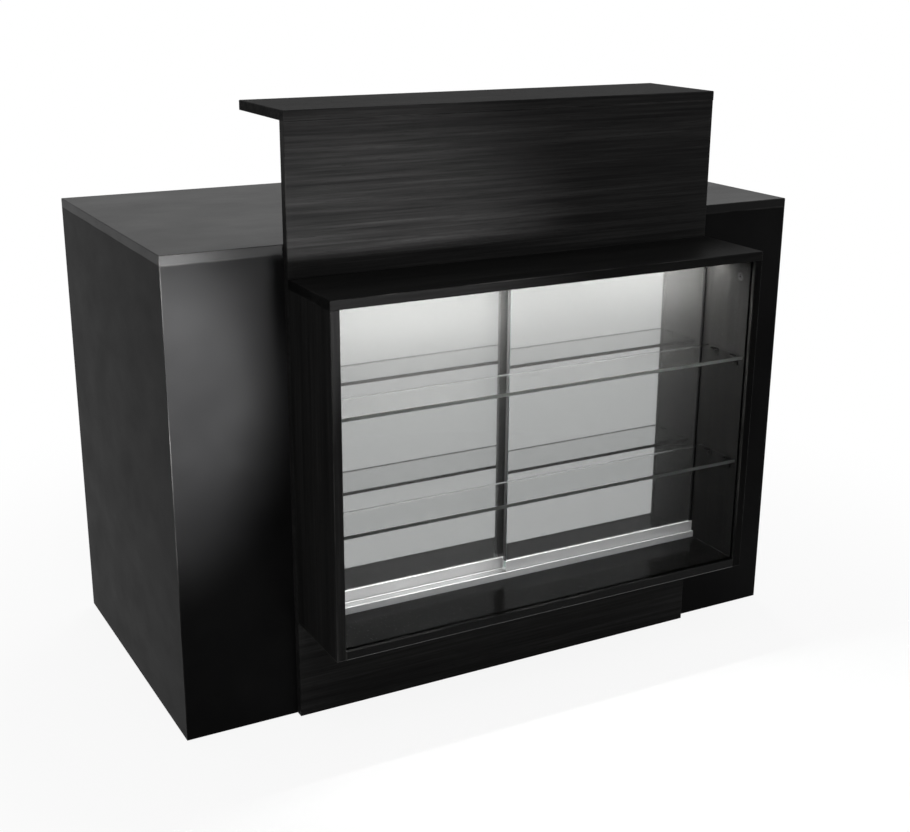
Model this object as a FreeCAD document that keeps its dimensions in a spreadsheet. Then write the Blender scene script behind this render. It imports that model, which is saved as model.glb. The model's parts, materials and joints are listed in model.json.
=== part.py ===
"""Reception desk: a flat-pack desk whose fascia carries a ledge and a lit, glazed showcase.

Millimetres, +Z up. Visitors stand on the -Y side and staff on the +Y side.
The origin is the centre of the footprint, on the floor.
"""

import FreeCAD, Part
import math
import os
import re
import Sketcher

# Driving dimensions: every size that can be set by itself, and what it is.
SIZES = {
    # Carcass
    "desk_width": (1220, "overall width"),
    "desk_depth": (600, "front panel to staff edge"),
    "worktop_height": (830, "floor to top of worktop"),
    "board": (16, "carcass board"),
    "edge_ease": (1, "chamfer on the edges that show"),
    "tower_floor": (60, "floor to underside of a tower bottom"),
    "tower_recess": (20, "staff edge to tower boards"),
    "tower_lower_shelf": (300, "floor to underside of lower tower shelf"),
    "tower_upper_shelf": (540, "floor to underside of upper tower shelf"),
    "shelf_play": (1, "side clearance of a tower shelf"),
    # Corner blocks and glides
    "block_leg": (18, "corner block along each board"),
    "block_lip": (6, "edge of a corner block"),
    "block_length": (36, "corner block along the corner"),
    "worktop_block_inset": (100, "edge to the blocks under the worktop"),
    "bottom_block_inset": (80, "edge to the blocks under a tower bottom"),
    "glide_height": (3, "floor to panels"),
    "glide_length": (40, "glide, front to back"),
    "glide_width": (12, "glide, side to side"),
    "glide_inset": (60, "panel end to middle of glide"),
    # Fascia and ledge
    "fascia_width": (820, "width of fascia, ledge and showcase"),
    "fascia_thick": (16, "fascia board"),
    "ledge_rise": (207, "worktop to top of ledge"),
    "ledge_depth": (190, "ledge, front to back"),
    "ledge_thick": (16, "ledge board"),
    "bracket_rise": (120, "upright leg of a ledge bracket"),
    "bracket_reach": (140, "level leg of a ledge bracket"),
    "bracket_width": (30, "width of a ledge bracket"),
    "bracket_steel": (3, "steel of a ledge bracket"),
    "bracket_spacing": (270, "centre to centre of the ledge brackets"),
    # Showcase
    "showcase_depth": (162, "fascia to front of showcase"),
    "showcase_drop": (37, "underside of worktop to top of showcase"),
    "showcase_height": (594, "underside to top of showcase"),
    "showcase_board": (16, "showcase board"),
    "pane_thick": (5, "front glass"),
    "pane_inset": (6, "front edge to front glass"),
    "pane_bite": (6, "depth of the grooves that hold the front glass"),
    "pane_play": (0.3, "clearance round the front glass"),
    "glass_thick": (6, "glass shelf"),
    "glass_setback": (14, "front edge to glass shelves"),
    "glass_gap": (13, "glass shelves to door tracks"),
    "glass_play": (2, "side clearance of a glass shelf"),
    "lower_glass": (187, "deck to lower glass shelf"),
    "upper_glass": (189, "lower glass shelf to upper one"),
    # Shelf clips
    "clip_width": (12, "shelf clip"),
    "clip_reach": (12, "shelf clip under its shelf"),
    "clip_drop": (14, "shelf clip down its wall"),
    "clip_steel": (1.5, "steel of a shelf clip"),
    "glass_clip_inset": (20, "edge of a glass shelf to its clips"),
    "tower_clip_inset": (60, "edge of a tower shelf to its clips"),
    # Cam fittings of the showcase
    "cam_diameter": (15, "cam"),
    "cam_depth": (12.5, "cam, face to bottom"),
    "cam_distance": (34, "joint to cam centre"),
    "cam_axis": (8, "face to bolt axis"),
    "cam_setback": (37, "showcase front to its first cams"),
    "cam_rear_gap": (20, "fascia to the showcase's second cams, behind the doors"),
    "cam_fit": (0.15, "radial clearance of cam and bolt"),
    "cam_mouth": (7, "mouth of a cam that takes the bolt"),
    "cam_cross": (7, "screwdriver cross in a cam"),
    "cam_slit": (1.4, "arm of the cross"),
    "cam_slit_depth": (3.5, "depth of the cross"),
    "bolt_diameter": (6, "cam bolt"),
    "bolt_bore": (8, "bore for a cam bolt"),
    "bolt_bite": (11, "cam bolt in the other board"),
    # Mirror doors and tracks
    "mirror_thick": (5, "mirror"),
    "mirror_play": (0.25, "clearance of a mirror in its rail and pull"),
    "door_overlap": (46, "overlap of the two doors"),
    "door_gap": (1, "closed door to showcase wall"),
    "track_depth": (40, "both tracks, front to back"),
    "track_wall": (2, "walls and base of the bottom track"),
    "track_height": (12, "bottom track"),
    "track_bead": (3, "bead that a door runs on"),
    "track_end": (0.5, "end clearance of the tracks"),
    "top_track_height": (18, "top track"),
    "top_track_wall": (1.5, "walls of the top track"),
    "top_track_play": (0.8, "mirror to a wall of the top track"),
    "lift_room": (9, "mirror to the roof of the top track"),
    "rail_lift": (2, "bead to bottom rail"),
    "rail_width": (11, "bottom rail of a door"),
    "rail_height": (24, "bottom rail of a door"),
    "rail_foot": (8, "lower channel of a bottom rail"),
    "rail_wall": (1.5, "walls of the lower channel"),
    "skid_length": (40, "nylon skid"),
    "skid_inset": (30, "rail end to skid"),
    "skid_play": (0.2, "clearance of a skid in its rail and on its bead"),
    "skid_lift": (0.8, "base of the track to skid"),
    "pull_width": (16, "edge pull of a door"),
    "pull_wall": (2, "flange and lip of an edge pull"),
    "pull_web": (2, "edge of a mirror to the end of its pull"),
    "pull_lip": (5, "finger lip of an edge pull, off the mirror's back"),
    "pull_top_gap": (2, "edge pull to top track"),
    # Light
    "light_setback": (84, "front edge to light profile"),
    "light_width": (17, "light profile"),
    "light_height": (8, "light profile"),
    "light_wall": (1.2, "wall of the light profile"),
    "light_end": (12, "showcase wall to light profile"),
    "strip_width": (10, "light strip"),
    "strip_thick": (1.4, "light strip"),
    "diffuser_thick": (1.5, "diffuser"),
    "diffuser_play": (0.1, "clearance of the diffuser"),
    "driver_length": (150, "light driver"),
    "driver_width": (42, "light driver"),
    "driver_height": (24, "light driver"),
    "driver_setback": (30, "front panel to ear of driver"),
    "driver_ear": (12, "mounting ear of the driver"),
    "driver_ear_width": (21, "mounting ear of the driver"),
    "driver_ear_thick": (3, "mounting ear of the driver"),
    "inlet_width": (14, "mains inlet"),
    "inlet_height": (9, "mains inlet"),
    "inlet_depth": (12, "mains inlet"),
    "inlet_rise": (3, "underside of driver to mains inlet"),
    # Light switch
    "switch_height": (600, "floor to middle of switch"),
    "switch_setback": (60, "staff edge to middle of switch"),
    "bezel_width": (15, "bezel of the switch"),
    "bezel_height": (24, "bezel of the switch"),
    "bezel_thick": (2, "bezel of the switch"),
    "switch_body_width": (13, "body of the switch"),
    "switch_body_height": (20, "body of the switch"),
    "switch_body_depth": (14, "body of the switch"),
    "switch_well": (6, "well for the rocker"),
    "switch_fit": (0.2, "body to its cut-out"),
    "rocker_length": (16, "rocker"),
    "rocker_width": (9.4, "rocker"),
    "rocker_gap": (0.3, "rocker to the sides of its well"),
    "rocker_swing": (0.8, "rocker to the ends of its well"),
    "rocker_tilt": (7, "tilt each side of level, degrees"),
    "rocker_rise": (3, "pivot to the rocker's ends"),
    "rocker_dip": (1, "hollow of the rocker's face"),
    "rocker_pivot": (2, "pivot of the rocker"),
    "rocker_pivot_length": (11, "pivot of the rocker"),
    "pivot_fit": (0.1, "radial clearance of the pivot"),
    # Cable grommet
    "grommet_hole": (60, "hole in the worktop"),
    "grommet_flange": (4, "flange beyond the hole"),
    "grommet_lip": (2, "flange above the worktop"),
    "grommet_wall": (3.6, "wall of the ring"),
    "grommet_skirt": (20, "ring below the worktop's top"),
    "grommet_seat": (2, "seat of the cap"),
    "grommet_fit": (0.15, "ring to its hole"),
    "grommet_setback": (80, "staff edge to grommet"),
    "cap_thick": (3, "grommet cap"),
    "cap_fit": (0.3, "radial clearance of the cap"),
    "cap_slot_width": (18, "cable slot in the cap"),
    "cap_slot_depth": (10, "cable slot in the cap"),
    # Drawer
    "drawer_recess": (45, "staff edge to drawer front"),
    "drawer_gap": (3, "gap round the drawer front"),
    "drawer_front_height": (110, "drawer front"),
    "drawer_board": (12, "drawer side and back"),
    "drawer_depth": (400, "drawer box"),
    "drawer_rise": (12, "bottom of drawer front to drawer side"),
    "drawer_head": (18, "drawer side to top of drawer front"),
    "drawer_bottom_thick": (4, "drawer bottom"),
    "drawer_bottom_rise": (8, "bottom edge of a side to drawer bottom"),
    "groove_bite": (6, "groove for the drawer bottom"),
    "groove_play": (0.15, "clearance of the drawer bottom"),
    "runner_gap": (13, "upright to drawer side"),
    "runner_height": (34, "runner"),
    "runner_reach": (10, "flange of a runner"),
    "runner_steel": (1.5, "steel of runner and slide"),
    "runner_play": (0.3, "slide to runner"),
    "runner_tip": (1, "slide's flange to runner's back"),
    "handle_diameter": (10, "bar of the drawer handle"),
    "handle_length": (180, "bar of the drawer handle"),
    "handle_centres": (128, "between the handle's posts"),
    "handle_post": (8, "post of the handle"),
    "handle_standoff": (28, "drawer front to bar"),
    "handle_rise": (42, "bottom of drawer front to bar"),
    # Drawer lock
    "lock_drop": (26, "top of drawer front to lock"),
    "lock_body": (19, "lock barrel"),
    "lock_flange": (24, "flange of the barrel"),
    "lock_flange_thick": (2, "flange of the barrel"),
    "lock_flange_ease": (1, "bevel of the flange"),
    "lock_stand": (5, "barrel inside the drawer front"),
    "lock_fit": (0.15, "barrel to its hole"),
    "plug_diameter": (12, "bore for the lock plug"),
    "plug_fit": (0.1, "radial clearance of the plug"),
    "plug_sink": (0.4, "flange to face of plug"),
    "key_width": (1.6, "key slot"),
    "key_height": (7, "key slot"),
    "key_depth": (8, "key slot"),
    "tongue_reach": (22, "tongue of the lock"),
    "tongue_width": (11, "tongue of the lock"),
    "tongue_thick": (3, "tongue of the lock"),
    "tongue_gap": (0.4, "barrel to tongue"),
    "keeper_steel": (2, "keeper"),
    "keeper_width": (34, "keeper"),
    "keeper_drop": (12, "keeper below the worktop"),
    "keeper_foot": (16, "keeper along the worktop"),
    "keeper_gap": (1.5, "drawer front to keeper"),
}

# Places that several pieces share, as formulas of the driving dimensions.
FRONT = "((showcase_depth + fascia_thick - desk_depth) / 2)"
BACK = "((showcase_depth + fascia_thick + desk_depth) / 2)"
PANEL_BACK = f"({FRONT} + board)"
FASCIA_FRONT = f"({FRONT} - fascia_thick)"
SHOWCASE_FRONT = f"({FASCIA_FRONT} - showcase_depth)"
TRACK_FRONT = f"({FASCIA_FRONT} - track_depth)"
TOWER_BACK = f"({BACK} - tower_recess)"
HALF_DESK = "(desk_width / 2)"
HALF_FASCIA = "(fascia_width / 2)"
END_FACE = f"({HALF_DESK} - board)"
KNEE_HALF = f"({HALF_FASCIA} - board)"
BAY_HALF = f"({HALF_FASCIA} - showcase_board)"
TOWER_MIDDLE = f"(({END_FACE} + {HALF_FASCIA}) / 2)"
UNDER_TOP = "(worktop_height - board)"
LEDGE_TOP = "(worktop_height + ledge_rise)"
UNDER_LEDGE = f"({LEDGE_TOP} - ledge_thick)"
SHOWCASE_TOP = f"({UNDER_TOP} - showcase_drop)"
SHOWCASE_BOTTOM = f"({SHOWCASE_TOP} - showcase_height)"
BAY_ROOF = f"({SHOWCASE_TOP} - showcase_board)"
BAY_FLOOR = f"({SHOWCASE_BOTTOM} + showcase_board)"
GLASS_FRONT = f"({SHOWCASE_FRONT} + glass_setback)"
GLASS_BACK = f"({TRACK_FRONT} - glass_gap)"
LOWER_GLASS = f"({BAY_FLOOR} + lower_glass)"
UPPER_GLASS = f"({LOWER_GLASS} + glass_thick + upper_glass)"

# Directions that pieces are turned to.
LEFT, RIGHT = (-1, 0, 0), (1, 0, 0)
TO_VISITOR, TO_STAFF = (0, -1, 0), (0, 1, 0)
DOWN, UP = (0, 0, -1), (0, 0, 1)

doc = FreeCAD.newDocument("ReceptionDesk")
sheet = doc.addObject("Spreadsheet::Sheet", "Sizes")
for row, (alias, (value, meaning)) in enumerate(SIZES.items(), 1):
    sheet.set(f"A{row}", meaning)
    sheet.set(f"B{row}", str(value))
    sheet.setAlias(f"B{row}", alias)
doc.recompute()

sub_parts = []
groups = {}
cutters = {}


def formula(text):
    """The text with each driving dimension read from the sheet."""
    return re.sub(r"[a-z_]+", lambda word: f"Sizes.{word[0]}" if word[0] in SIZES else word[0], text)


def bind(piece, **properties):
    """Binds properties of a piece to formulas."""
    for name, text in properties.items():
        piece.setExpression(name, formula(text))


def minus(text):
    """The formula with its sign changed."""
    return f"(-({text}))"


def evenly(half):
    """The span that reaches as far to both sides of the middle."""
    return minus(half), half


def from_to(start, length):
    """The span of a length from its start."""
    return start, f"({start} + {length})"


def about(middle, width):
    """The span of a width about its middle."""
    return f"({middle} - ({width}) / 2)", f"({middle} + ({width}) / 2)"


def mirrored(side, *texts):
    """Places given for the right side, or their mirror images for the left."""
    return texts if side == "right" else tuple(minus(text) for text in reversed(texts))


def square_to(first, second):
    """The direction square to two others."""
    return tuple(FreeCAD.Vector(*first).cross(FreeCAD.Vector(*second)))


def turned_to(x_axis, z_axis):
    """The turn that points a piece's own X and Z along two directions."""
    along_x, along_z = FreeCAD.Vector(*x_axis), FreeCAD.Vector(*z_axis)
    return FreeCAD.Rotation(along_x, along_z.cross(along_x), along_z, "ZXY")


def put(piece, place, turn=None):
    """Places a piece by formulas for its origin, after an optional turn."""
    piece.Placement = FreeCAD.Placement(FreeCAD.Vector(), turn or FreeCAD.Rotation())
    for axis, text in zip("xyz", place):
        piece.setExpression(f"Placement.Base.{axis}", formula(text))
    return piece


def lengths(spans):
    """The properties that give a box its three lengths."""
    names = ("Length", "Width", "Height")
    return {name: f"({high}) - ({low})" for name, (low, high) in zip(names, spans)}


def block(name, *spans):
    """A rectangular solid that spans a low and a high formula along X, Y and Z."""
    piece = doc.addObject("Part::Box", name)
    bind(piece, **lengths(spans))
    return put(piece, [low for low, _ in spans])


def rod(name, diameter, length, start, along):
    """A round solid from the middle of one end, along a direction."""
    piece = doc.addObject("Part::Cylinder", name)
    bind(piece, Radius=f"({diameter}) / 2", Height=length)
    across = UP if along[2] == 0 else RIGHT
    return put(piece, start, turned_to(across, along))


def joined(name, *pieces):
    """One solid made of several that meet."""
    piece = doc.addObject("Part::MultiFuse", name)
    piece.Shapes = pieces
    return piece


def without(name, piece, *tools):
    """A piece with tools cut out of it."""
    tool = tools[0]
    if len(tools) > 1:
        tool = doc.addObject("Part::Compound", f"{name}_cutters")
        tool.Links = tools
    rest = doc.addObject("Part::Cut", name)
    rest.Base = piece
    rest.Tool = tool
    return rest


def eased_block(name, face, *spans):
    """A block with a small chamfer round the face that shows."""
    body = doc.addObject("PartDesign::Body", name)
    blank = body.newObject("PartDesign::AdditiveBox", f"{name}_blank")
    bind(blank, **lengths(spans))
    doc.recompute()
    box = blank.Shape.BoundBox
    levels = {
        TO_VISITOR: ("Y", box.YMin), TO_STAFF: ("Y", box.YMax), UP: ("Z", box.ZMax), DOWN: ("Z", box.ZMin),
    }
    axis, level = levels[face]
    eased = [
        f"Edge{number}" for number, edge in enumerate(blank.Shape.Edges, 1)
        if all(abs(getattr(corner, axis) - level) < Part.Precision.confusion() for corner in edge.Vertexes)
    ]
    chamfer = body.newObject("PartDesign::Chamfer", f"{name}_ease")
    chamfer.Base = (blank, eased)
    bind(chamfer, Size="edge_ease")
    return put(body, [low for low, _ in spans])


def outline(body, plane, points):
    """A closed sketch of straight lines whose corners are bound to formulas."""
    sketch = body.newObject("Sketcher::SketchObject", f"{body.Name}_outline")
    support = next(feature for feature in body.Origin.OriginFeatures if feature.Role == plane)
    sketch.AttachmentSupport = [(support, "")]
    sketch.MapMode = "FlatFace"
    count = len(points)
    turns = [2 * math.pi * number / count for number in range(count)]
    corners = [FreeCAD.Vector(math.cos(turn), math.sin(turn), 0) for turn in turns]
    for number in range(count):
        sketch.addGeometry(Part.LineSegment(corners[number], corners[(number + 1) % count]))
    for number in range(count):
        sketch.addConstraint(Sketcher.Constraint("Coincident", number, 2, (number + 1) % count, 1))
    for number, (across, up) in enumerate(points):
        start = corners[number]
        for kind, text, guess in (("DistanceX", across, start.x), ("DistanceY", up, start.y)):
            index = sketch.addConstraint(Sketcher.Constraint(kind, number, 1, guess))
            sketch.setExpression(f"Constraints[{index}]", formula(text))
    return sketch


def extruded(name, plane, length, *points):
    """A profile drawn on a plane and extruded to both sides of it."""
    body = doc.addObject("PartDesign::Body", name)
    sketch = outline(body, plane, points)
    doc.recompute()
    pad = body.newObject("PartDesign::Pad", f"{name}_pad")
    pad.Profile = sketch
    pad.SideType = "Symmetric"
    bind(pad, Length=length)
    return body


def lathed(name, *points):
    """A half profile of (radius, height) corners turned about its own Z axis."""
    body = doc.addObject("PartDesign::Body", name)
    sketch = outline(body, "XZ_Plane", points)
    doc.recompute()
    turned = body.newObject("PartDesign::Revolution", f"{name}_turned")
    turned.Profile = sketch
    turned.ReferenceAxis = (sketch, ["V_Axis"])
    turned.Angle = 360
    return body


def copy_of(master, place, turn):
    """A further copy of a piece that is used several times."""
    number = 1 + sum(other.TypeId == "App::Link" for other in doc.Objects)
    link = doc.addObject("App::Link", f"{master.Name}_{number}")
    link.LinkedObject = master
    link.LinkTransform = True
    return put(link, place, turn)


def cut_from(label, tool):
    """Notes a tool that is cut out of a sub-part when it is finished."""
    cutters.setdefault(label, []).append(tool)


def fit(label, master, place, turn=None):
    """Adds a copy of a fitting to the sub-part that holds all of its kind."""
    groups.setdefault(label, []).append(copy_of(master, place, turn))


def keep(label, piece):
    """Finishes a sub-part: makes its cuts and gives it the label that names it."""
    if label in cutters:
        piece = without(label, piece, *cutters[label])
    piece.Label = label
    sub_parts.append(piece)


# Corner block: its X and Y point out of the two boards that it holds together.
corner_block = extruded(
    "corner_block", "XY_Plane", "block_length",
    ("0", "0"), ("block_leg", "0"), ("block_leg", "block_lip"),
    ("block_lip", "block_leg"), ("0", "block_leg"),
)

# Shelf clip: its Z points out of the wall, its Y points down and its top carries the shelf.
shelf_clip = extruded(
    "shelf_clip", "YZ_Plane", "clip_width",
    ("0", "0"), ("clip_drop", "0"), ("clip_drop", "clip_steel"), ("clip_steel", "clip_steel"),
    ("clip_steel", "clip_reach"), ("0", "clip_reach"),
)

# Glide under a panel's lower edge
glide = eased_block("glide", DOWN, evenly("glide_width / 2"), evenly("glide_length / 2"),
                    ("0", "glide_height"))

# Cam fitting: its Z points out of the face that the cam lies in, and its X to the board that the bolt holds.
cam = without(
    "cam", rod("cam_blank", "cam_diameter - 2 * cam_fit", "cam_depth - cam_fit", ("0", "0", "0"), DOWN),
    block("cam_bolt_mouth", (minus("cam_mouth / 2"), "cam_diameter"), evenly("cam_mouth / 2"),
          (minus("cam_axis + cam_mouth / 2"), "cam_mouth / 2 - cam_axis")),
    joined("cam_driver_cross",
           block("cross_arm", evenly("cam_cross / 2"), evenly("cam_slit / 2"), evenly("cam_slit_depth")),
           block("cross_bar", evenly("cam_slit / 2"), evenly("cam_cross / 2"), evenly("cam_slit_depth"))),
)
cam_bolt = rod("cam_bolt", "bolt_diameter", "cam_distance + bolt_bite", ("0", "0", minus("cam_axis")), RIGHT)
cam_drilling = joined(
    "cam_drilling",
    rod("cam_pocket", "cam_diameter", "cam_depth", ("0", "0", "0"), DOWN),
    rod("cam_bore", "bolt_bore", "cam_distance", ("0", "0", minus("cam_axis")), RIGHT),
)
bolt_drilling = rod("bolt_drilling", "bolt_diameter + 2 * cam_fit", "bolt_bite + cam_fit",
                    ("cam_distance", "0", minus("cam_axis")), RIGHT)


def hold_corner(place, first_face, second_face):
    """A block in the corner between two boards, whose faces point in the directions given."""
    along = square_to(first_face, second_face)
    fit("corner_blocks", corner_block, place, turned_to(first_face, along))


def clip_shelf(label, wall, face, places, shelf_height):
    """Clips along a wall under one shelf."""
    turn = turned_to(square_to(DOWN, face), face)
    for along in places:
        fit(label, shelf_clip, (wall, along, shelf_height), turn)


def cam_joint(holder, mate, place, face, reach):
    """A cam in one board whose bolt is held in another."""
    turn = turned_to(reach, face)
    fit("showcase_cams", cam, place, turn)
    fit("showcase_cam_bolts", cam_bolt, place, turn)
    cut_from(holder, copy_of(cam_drilling, place, turn))
    cut_from(mate, copy_of(bolt_drilling, place, turn))


# Window through front panel and fascia, by which staff reach the mirror doors
window = block("window", evenly(BAY_HALF), (f"{FASCIA_FRONT} - board", f"{PANEL_BACK} + board"),
               (BAY_FLOOR, BAY_ROOF))
cut_from("front_panel", window)
cut_from("fascia", window)

# Hole for the cable grommet, over the right tower
GROMMET_Y = f"({BACK} - grommet_setback)"
cut_from("worktop", rod("grommet_drilling", "grommet_hole", "2 * board",
                        (TOWER_MIDDLE, GROMMET_Y, f"{UNDER_TOP} - board / 2"), UP))

# Cut-out for the light switch, in the right inner upright
SWITCH_Y = f"({BACK} - switch_setback)"
cut_from("right_inner_upright", block(
    "switch_cutout", (f"{KNEE_HALF} - board / 2", f"{KNEE_HALF} + 2 * board"),
    about(SWITCH_Y, "switch_body_width + 2 * switch_fit"),
    about("switch_height", "switch_body_height + 2 * switch_fit"),
))

# Worktop and front panel
PANEL_RISE = ("glide_height", UNDER_TOP)
keep("worktop", eased_block("worktop_board", UP, evenly(HALF_DESK), (FRONT, BACK),
                            (UNDER_TOP, "worktop_height")))
keep("front_panel", block("front_panel_board", evenly(HALF_DESK), (FRONT, PANEL_BACK), PANEL_RISE))

# Two towers of shelves, each between an end panel and an inner upright
LOWER_CORNER = "((tower_floor + board + tower_lower_shelf) / 2)"
UPPER_CORNER = f"((tower_upper_shelf + board + {UNDER_TOP}) / 2)"
for side, inward, outward in (("left", RIGHT, LEFT), ("right", LEFT, RIGHT)):
    for label, span, face, face_place in (
        (f"{side}_end_panel", (END_FACE, HALF_DESK), inward, END_FACE),
        (f"{side}_inner_upright", (KNEE_HALF, HALF_FASCIA), outward, HALF_FASCIA),
    ):
        across = mirrored(side, *span)
        wall, = mirrored(side, face_place)
        keep(label, block(f"{label}_board", across, (PANEL_BACK, BACK), PANEL_RISE))
        for along in (f"{PANEL_BACK} + worktop_block_inset", f"{BACK} - worktop_block_inset"):
            hold_corner((wall, along, UNDER_TOP), face, DOWN)
        for height in (LOWER_CORNER, UPPER_CORNER):
            hold_corner((wall, PANEL_BACK, height), face, TO_STAFF)
        for along in (f"{PANEL_BACK} + bottom_block_inset", f"{TOWER_BACK} - bottom_block_inset"):
            hold_corner((wall, along, "tower_floor"), face, DOWN)
        for along in (f"{PANEL_BACK} + glide_inset", f"{BACK} - glide_inset"):
            fit("floor_glides", glide, (f"({across[0]} + {across[1]}) / 2", along, "0"))
        for shelf_height in ("tower_lower_shelf", "tower_upper_shelf"):
            places = (f"{PANEL_BACK} + tower_clip_inset", f"{TOWER_BACK} - tower_clip_inset")
            clip_shelf("tower_shelf_clips", wall, face, places, shelf_height)
    label = f"{side}_tower_bottom"
    keep(label, block(f"{label}_board", mirrored(side, HALF_FASCIA, END_FACE), (PANEL_BACK, TOWER_BACK),
                      from_to("tower_floor", "board")))
    for level in ("lower", "upper"):
        label = f"{side}_tower_{level}_shelf"
        across = mirrored(side, f"{HALF_FASCIA} + shelf_play", f"{END_FACE} - shelf_play")
        keep(label, block(f"{label}_board", across, (PANEL_BACK, TOWER_BACK),
                          from_to(f"tower_{level}_shelf", "board")))

# Fascia and ledge, with steel brackets between them on the staff side
keep("fascia", eased_block("fascia_board", TO_VISITOR, evenly(HALF_FASCIA), (FASCIA_FRONT, FRONT),
                           ("glide_height", UNDER_LEDGE)))
keep("ledge", eased_block("ledge_board", UP, evenly(HALF_FASCIA), from_to(FASCIA_FRONT, "ledge_depth"),
                          (UNDER_LEDGE, LEDGE_TOP)))
angle = extruded(
    "bracket_angle", "YZ_Plane", "bracket_width",
    ("0", "0"), ("bracket_reach", "0"), ("bracket_reach", "-bracket_steel"),
    ("bracket_steel", "-bracket_steel"), ("bracket_steel", "-bracket_rise"), ("0", "-bracket_rise"),
)
gusset = extruded(
    "bracket_gusset", "YZ_Plane", "bracket_steel",
    ("bracket_steel", "-bracket_steel"), ("bracket_reach - bracket_steel", "-bracket_steel"),
    ("bracket_steel", "bracket_steel - bracket_rise"),
)
bracket = joined("ledge_bracket", angle, gusset)
for across in ("-bracket_spacing", "0", "bracket_spacing"):
    fit("ledge_brackets", bracket, (across, FRONT, UNDER_LEDGE))

# Showcase: a top over two sides, a deck between them, a fixed front glass and two glass shelves
CASE_DEPTH = (SHOWCASE_FRONT, FASCIA_FRONT)
pane_groove = block(
    "pane_groove", evenly(f"{BAY_HALF} + pane_bite"),
    (f"{SHOWCASE_FRONT} + pane_inset - pane_play", f"{SHOWCASE_FRONT} + pane_inset + pane_thick + pane_play"),
    (f"{BAY_FLOOR} - pane_bite", f"{BAY_ROOF} + pane_bite"),
)
for label in ("showcase_top", "showcase_deck", "showcase_left_side", "showcase_right_side"):
    cut_from(label, pane_groove)
for side, inward, outward in (("left", RIGHT, LEFT), ("right", LEFT, RIGHT)):
    label = f"showcase_{side}_side"
    wall, = mirrored(side, BAY_HALF)
    for along in (f"{SHOWCASE_FRONT} + cam_setback", f"{FASCIA_FRONT} - cam_rear_gap"):
        cam_joint(label, "showcase_top", (wall, along, f"{BAY_ROOF} - cam_distance"), inward, UP)
    across, = mirrored(side, f"{BAY_HALF} - cam_distance")
    along = f"({SHOWCASE_FRONT} + {FASCIA_FRONT}) / 2"
    cam_joint("showcase_deck", label, (across, along, SHOWCASE_BOTTOM), DOWN, outward)
    for shelf_height in (LOWER_GLASS, UPPER_GLASS):
        places = (f"{GLASS_FRONT} + glass_clip_inset", f"{GLASS_BACK} - glass_clip_inset")
        clip_shelf("glass_shelf_clips", wall, inward, places, shelf_height)
    keep(label, eased_block(f"{label}_board", TO_VISITOR, mirrored(side, BAY_HALF, HALF_FASCIA), CASE_DEPTH,
                            (SHOWCASE_BOTTOM, BAY_ROOF)))
keep("showcase_top", eased_block("showcase_top_board", TO_VISITOR, evenly(HALF_FASCIA), CASE_DEPTH,
                                 (BAY_ROOF, SHOWCASE_TOP)))
keep("showcase_deck", eased_block("showcase_deck_board", TO_VISITOR, evenly(BAY_HALF), CASE_DEPTH,
                                  (SHOWCASE_BOTTOM, BAY_FLOOR)))
PANE_REACH = "(pane_bite - pane_play)"
keep("front_glass", block("front_pane", evenly(f"{BAY_HALF} + {PANE_REACH}"),
                          from_to(f"({SHOWCASE_FRONT} + pane_inset)", "pane_thick"),
                          (f"{BAY_FLOOR} - {PANE_REACH}", f"{BAY_ROOF} + {PANE_REACH}")))
for label, height in (("lower_glass_shelf", LOWER_GLASS), ("upper_glass_shelf", UPPER_GLASS)):
    keep(label, block(f"{label}_sheet", evenly(f"{BAY_HALF} - glass_play"), (GLASS_FRONT, GLASS_BACK),
                      from_to(height, "glass_thick")))

# Door tracks: a bottom track with a bead in each channel, and a top track with a slot over each channel
CHANNEL = "((track_depth - 3 * track_wall) / 2)"
FRONT_CHANNEL = f"(track_wall + {CHANNEL} / 2)"
REAR_CHANNEL = f"(2 * track_wall + 1.5 * {CHANNEL})"
TRACK_LENGTH = f"2 * {BAY_HALF} - 2 * track_end"
BEAD = "(track_wall + track_bead)"
bottom_outline = [("0", "0"), ("track_depth", "0"), ("track_depth", "track_height")]
for centre in (REAR_CHANNEL, FRONT_CHANNEL):
    bottom_outline += [
        (f"{centre} + {CHANNEL} / 2", "track_height"), (f"{centre} + {CHANNEL} / 2", "track_wall"),
        (f"{centre} + track_bead / 2", "track_wall"), (f"{centre} + track_bead / 2", BEAD),
        (f"{centre} - track_bead / 2", BEAD), (f"{centre} - track_bead / 2", "track_wall"),
        (f"{centre} - {CHANNEL} / 2", "track_wall"), (f"{centre} - {CHANNEL} / 2", "track_height"),
    ]
bottom_outline.append(("0", "track_height"))
keep("bottom_track", put(extruded("bottom_track_bar", "YZ_Plane", TRACK_LENGTH, *bottom_outline),
                         ("0", TRACK_FRONT, BAY_FLOOR)))
SLOT_HALF = "(mirror_thick / 2 + top_track_play)"
LIP_HALF = f"({SLOT_HALF} + top_track_wall)"
top_outline = [("0", "0"), ("0", "-top_track_wall")]
for centre in (FRONT_CHANNEL, REAR_CHANNEL):
    for near, far in ((f"{centre} - {LIP_HALF}", f"{centre} - {SLOT_HALF}"),
                      (f"{centre} + {SLOT_HALF}", f"{centre} + {LIP_HALF}")):
        top_outline += [(near, "-top_track_wall"), (near, "-top_track_height"),
                        (far, "-top_track_height"), (far, "-top_track_wall")]
top_outline += [("track_depth", "-top_track_wall"), ("track_depth", "0")]
keep("top_track", put(extruded("top_track_bar", "YZ_Plane", TRACK_LENGTH, *top_outline),
                      ("0", TRACK_FRONT, BAY_ROOF)))

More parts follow.
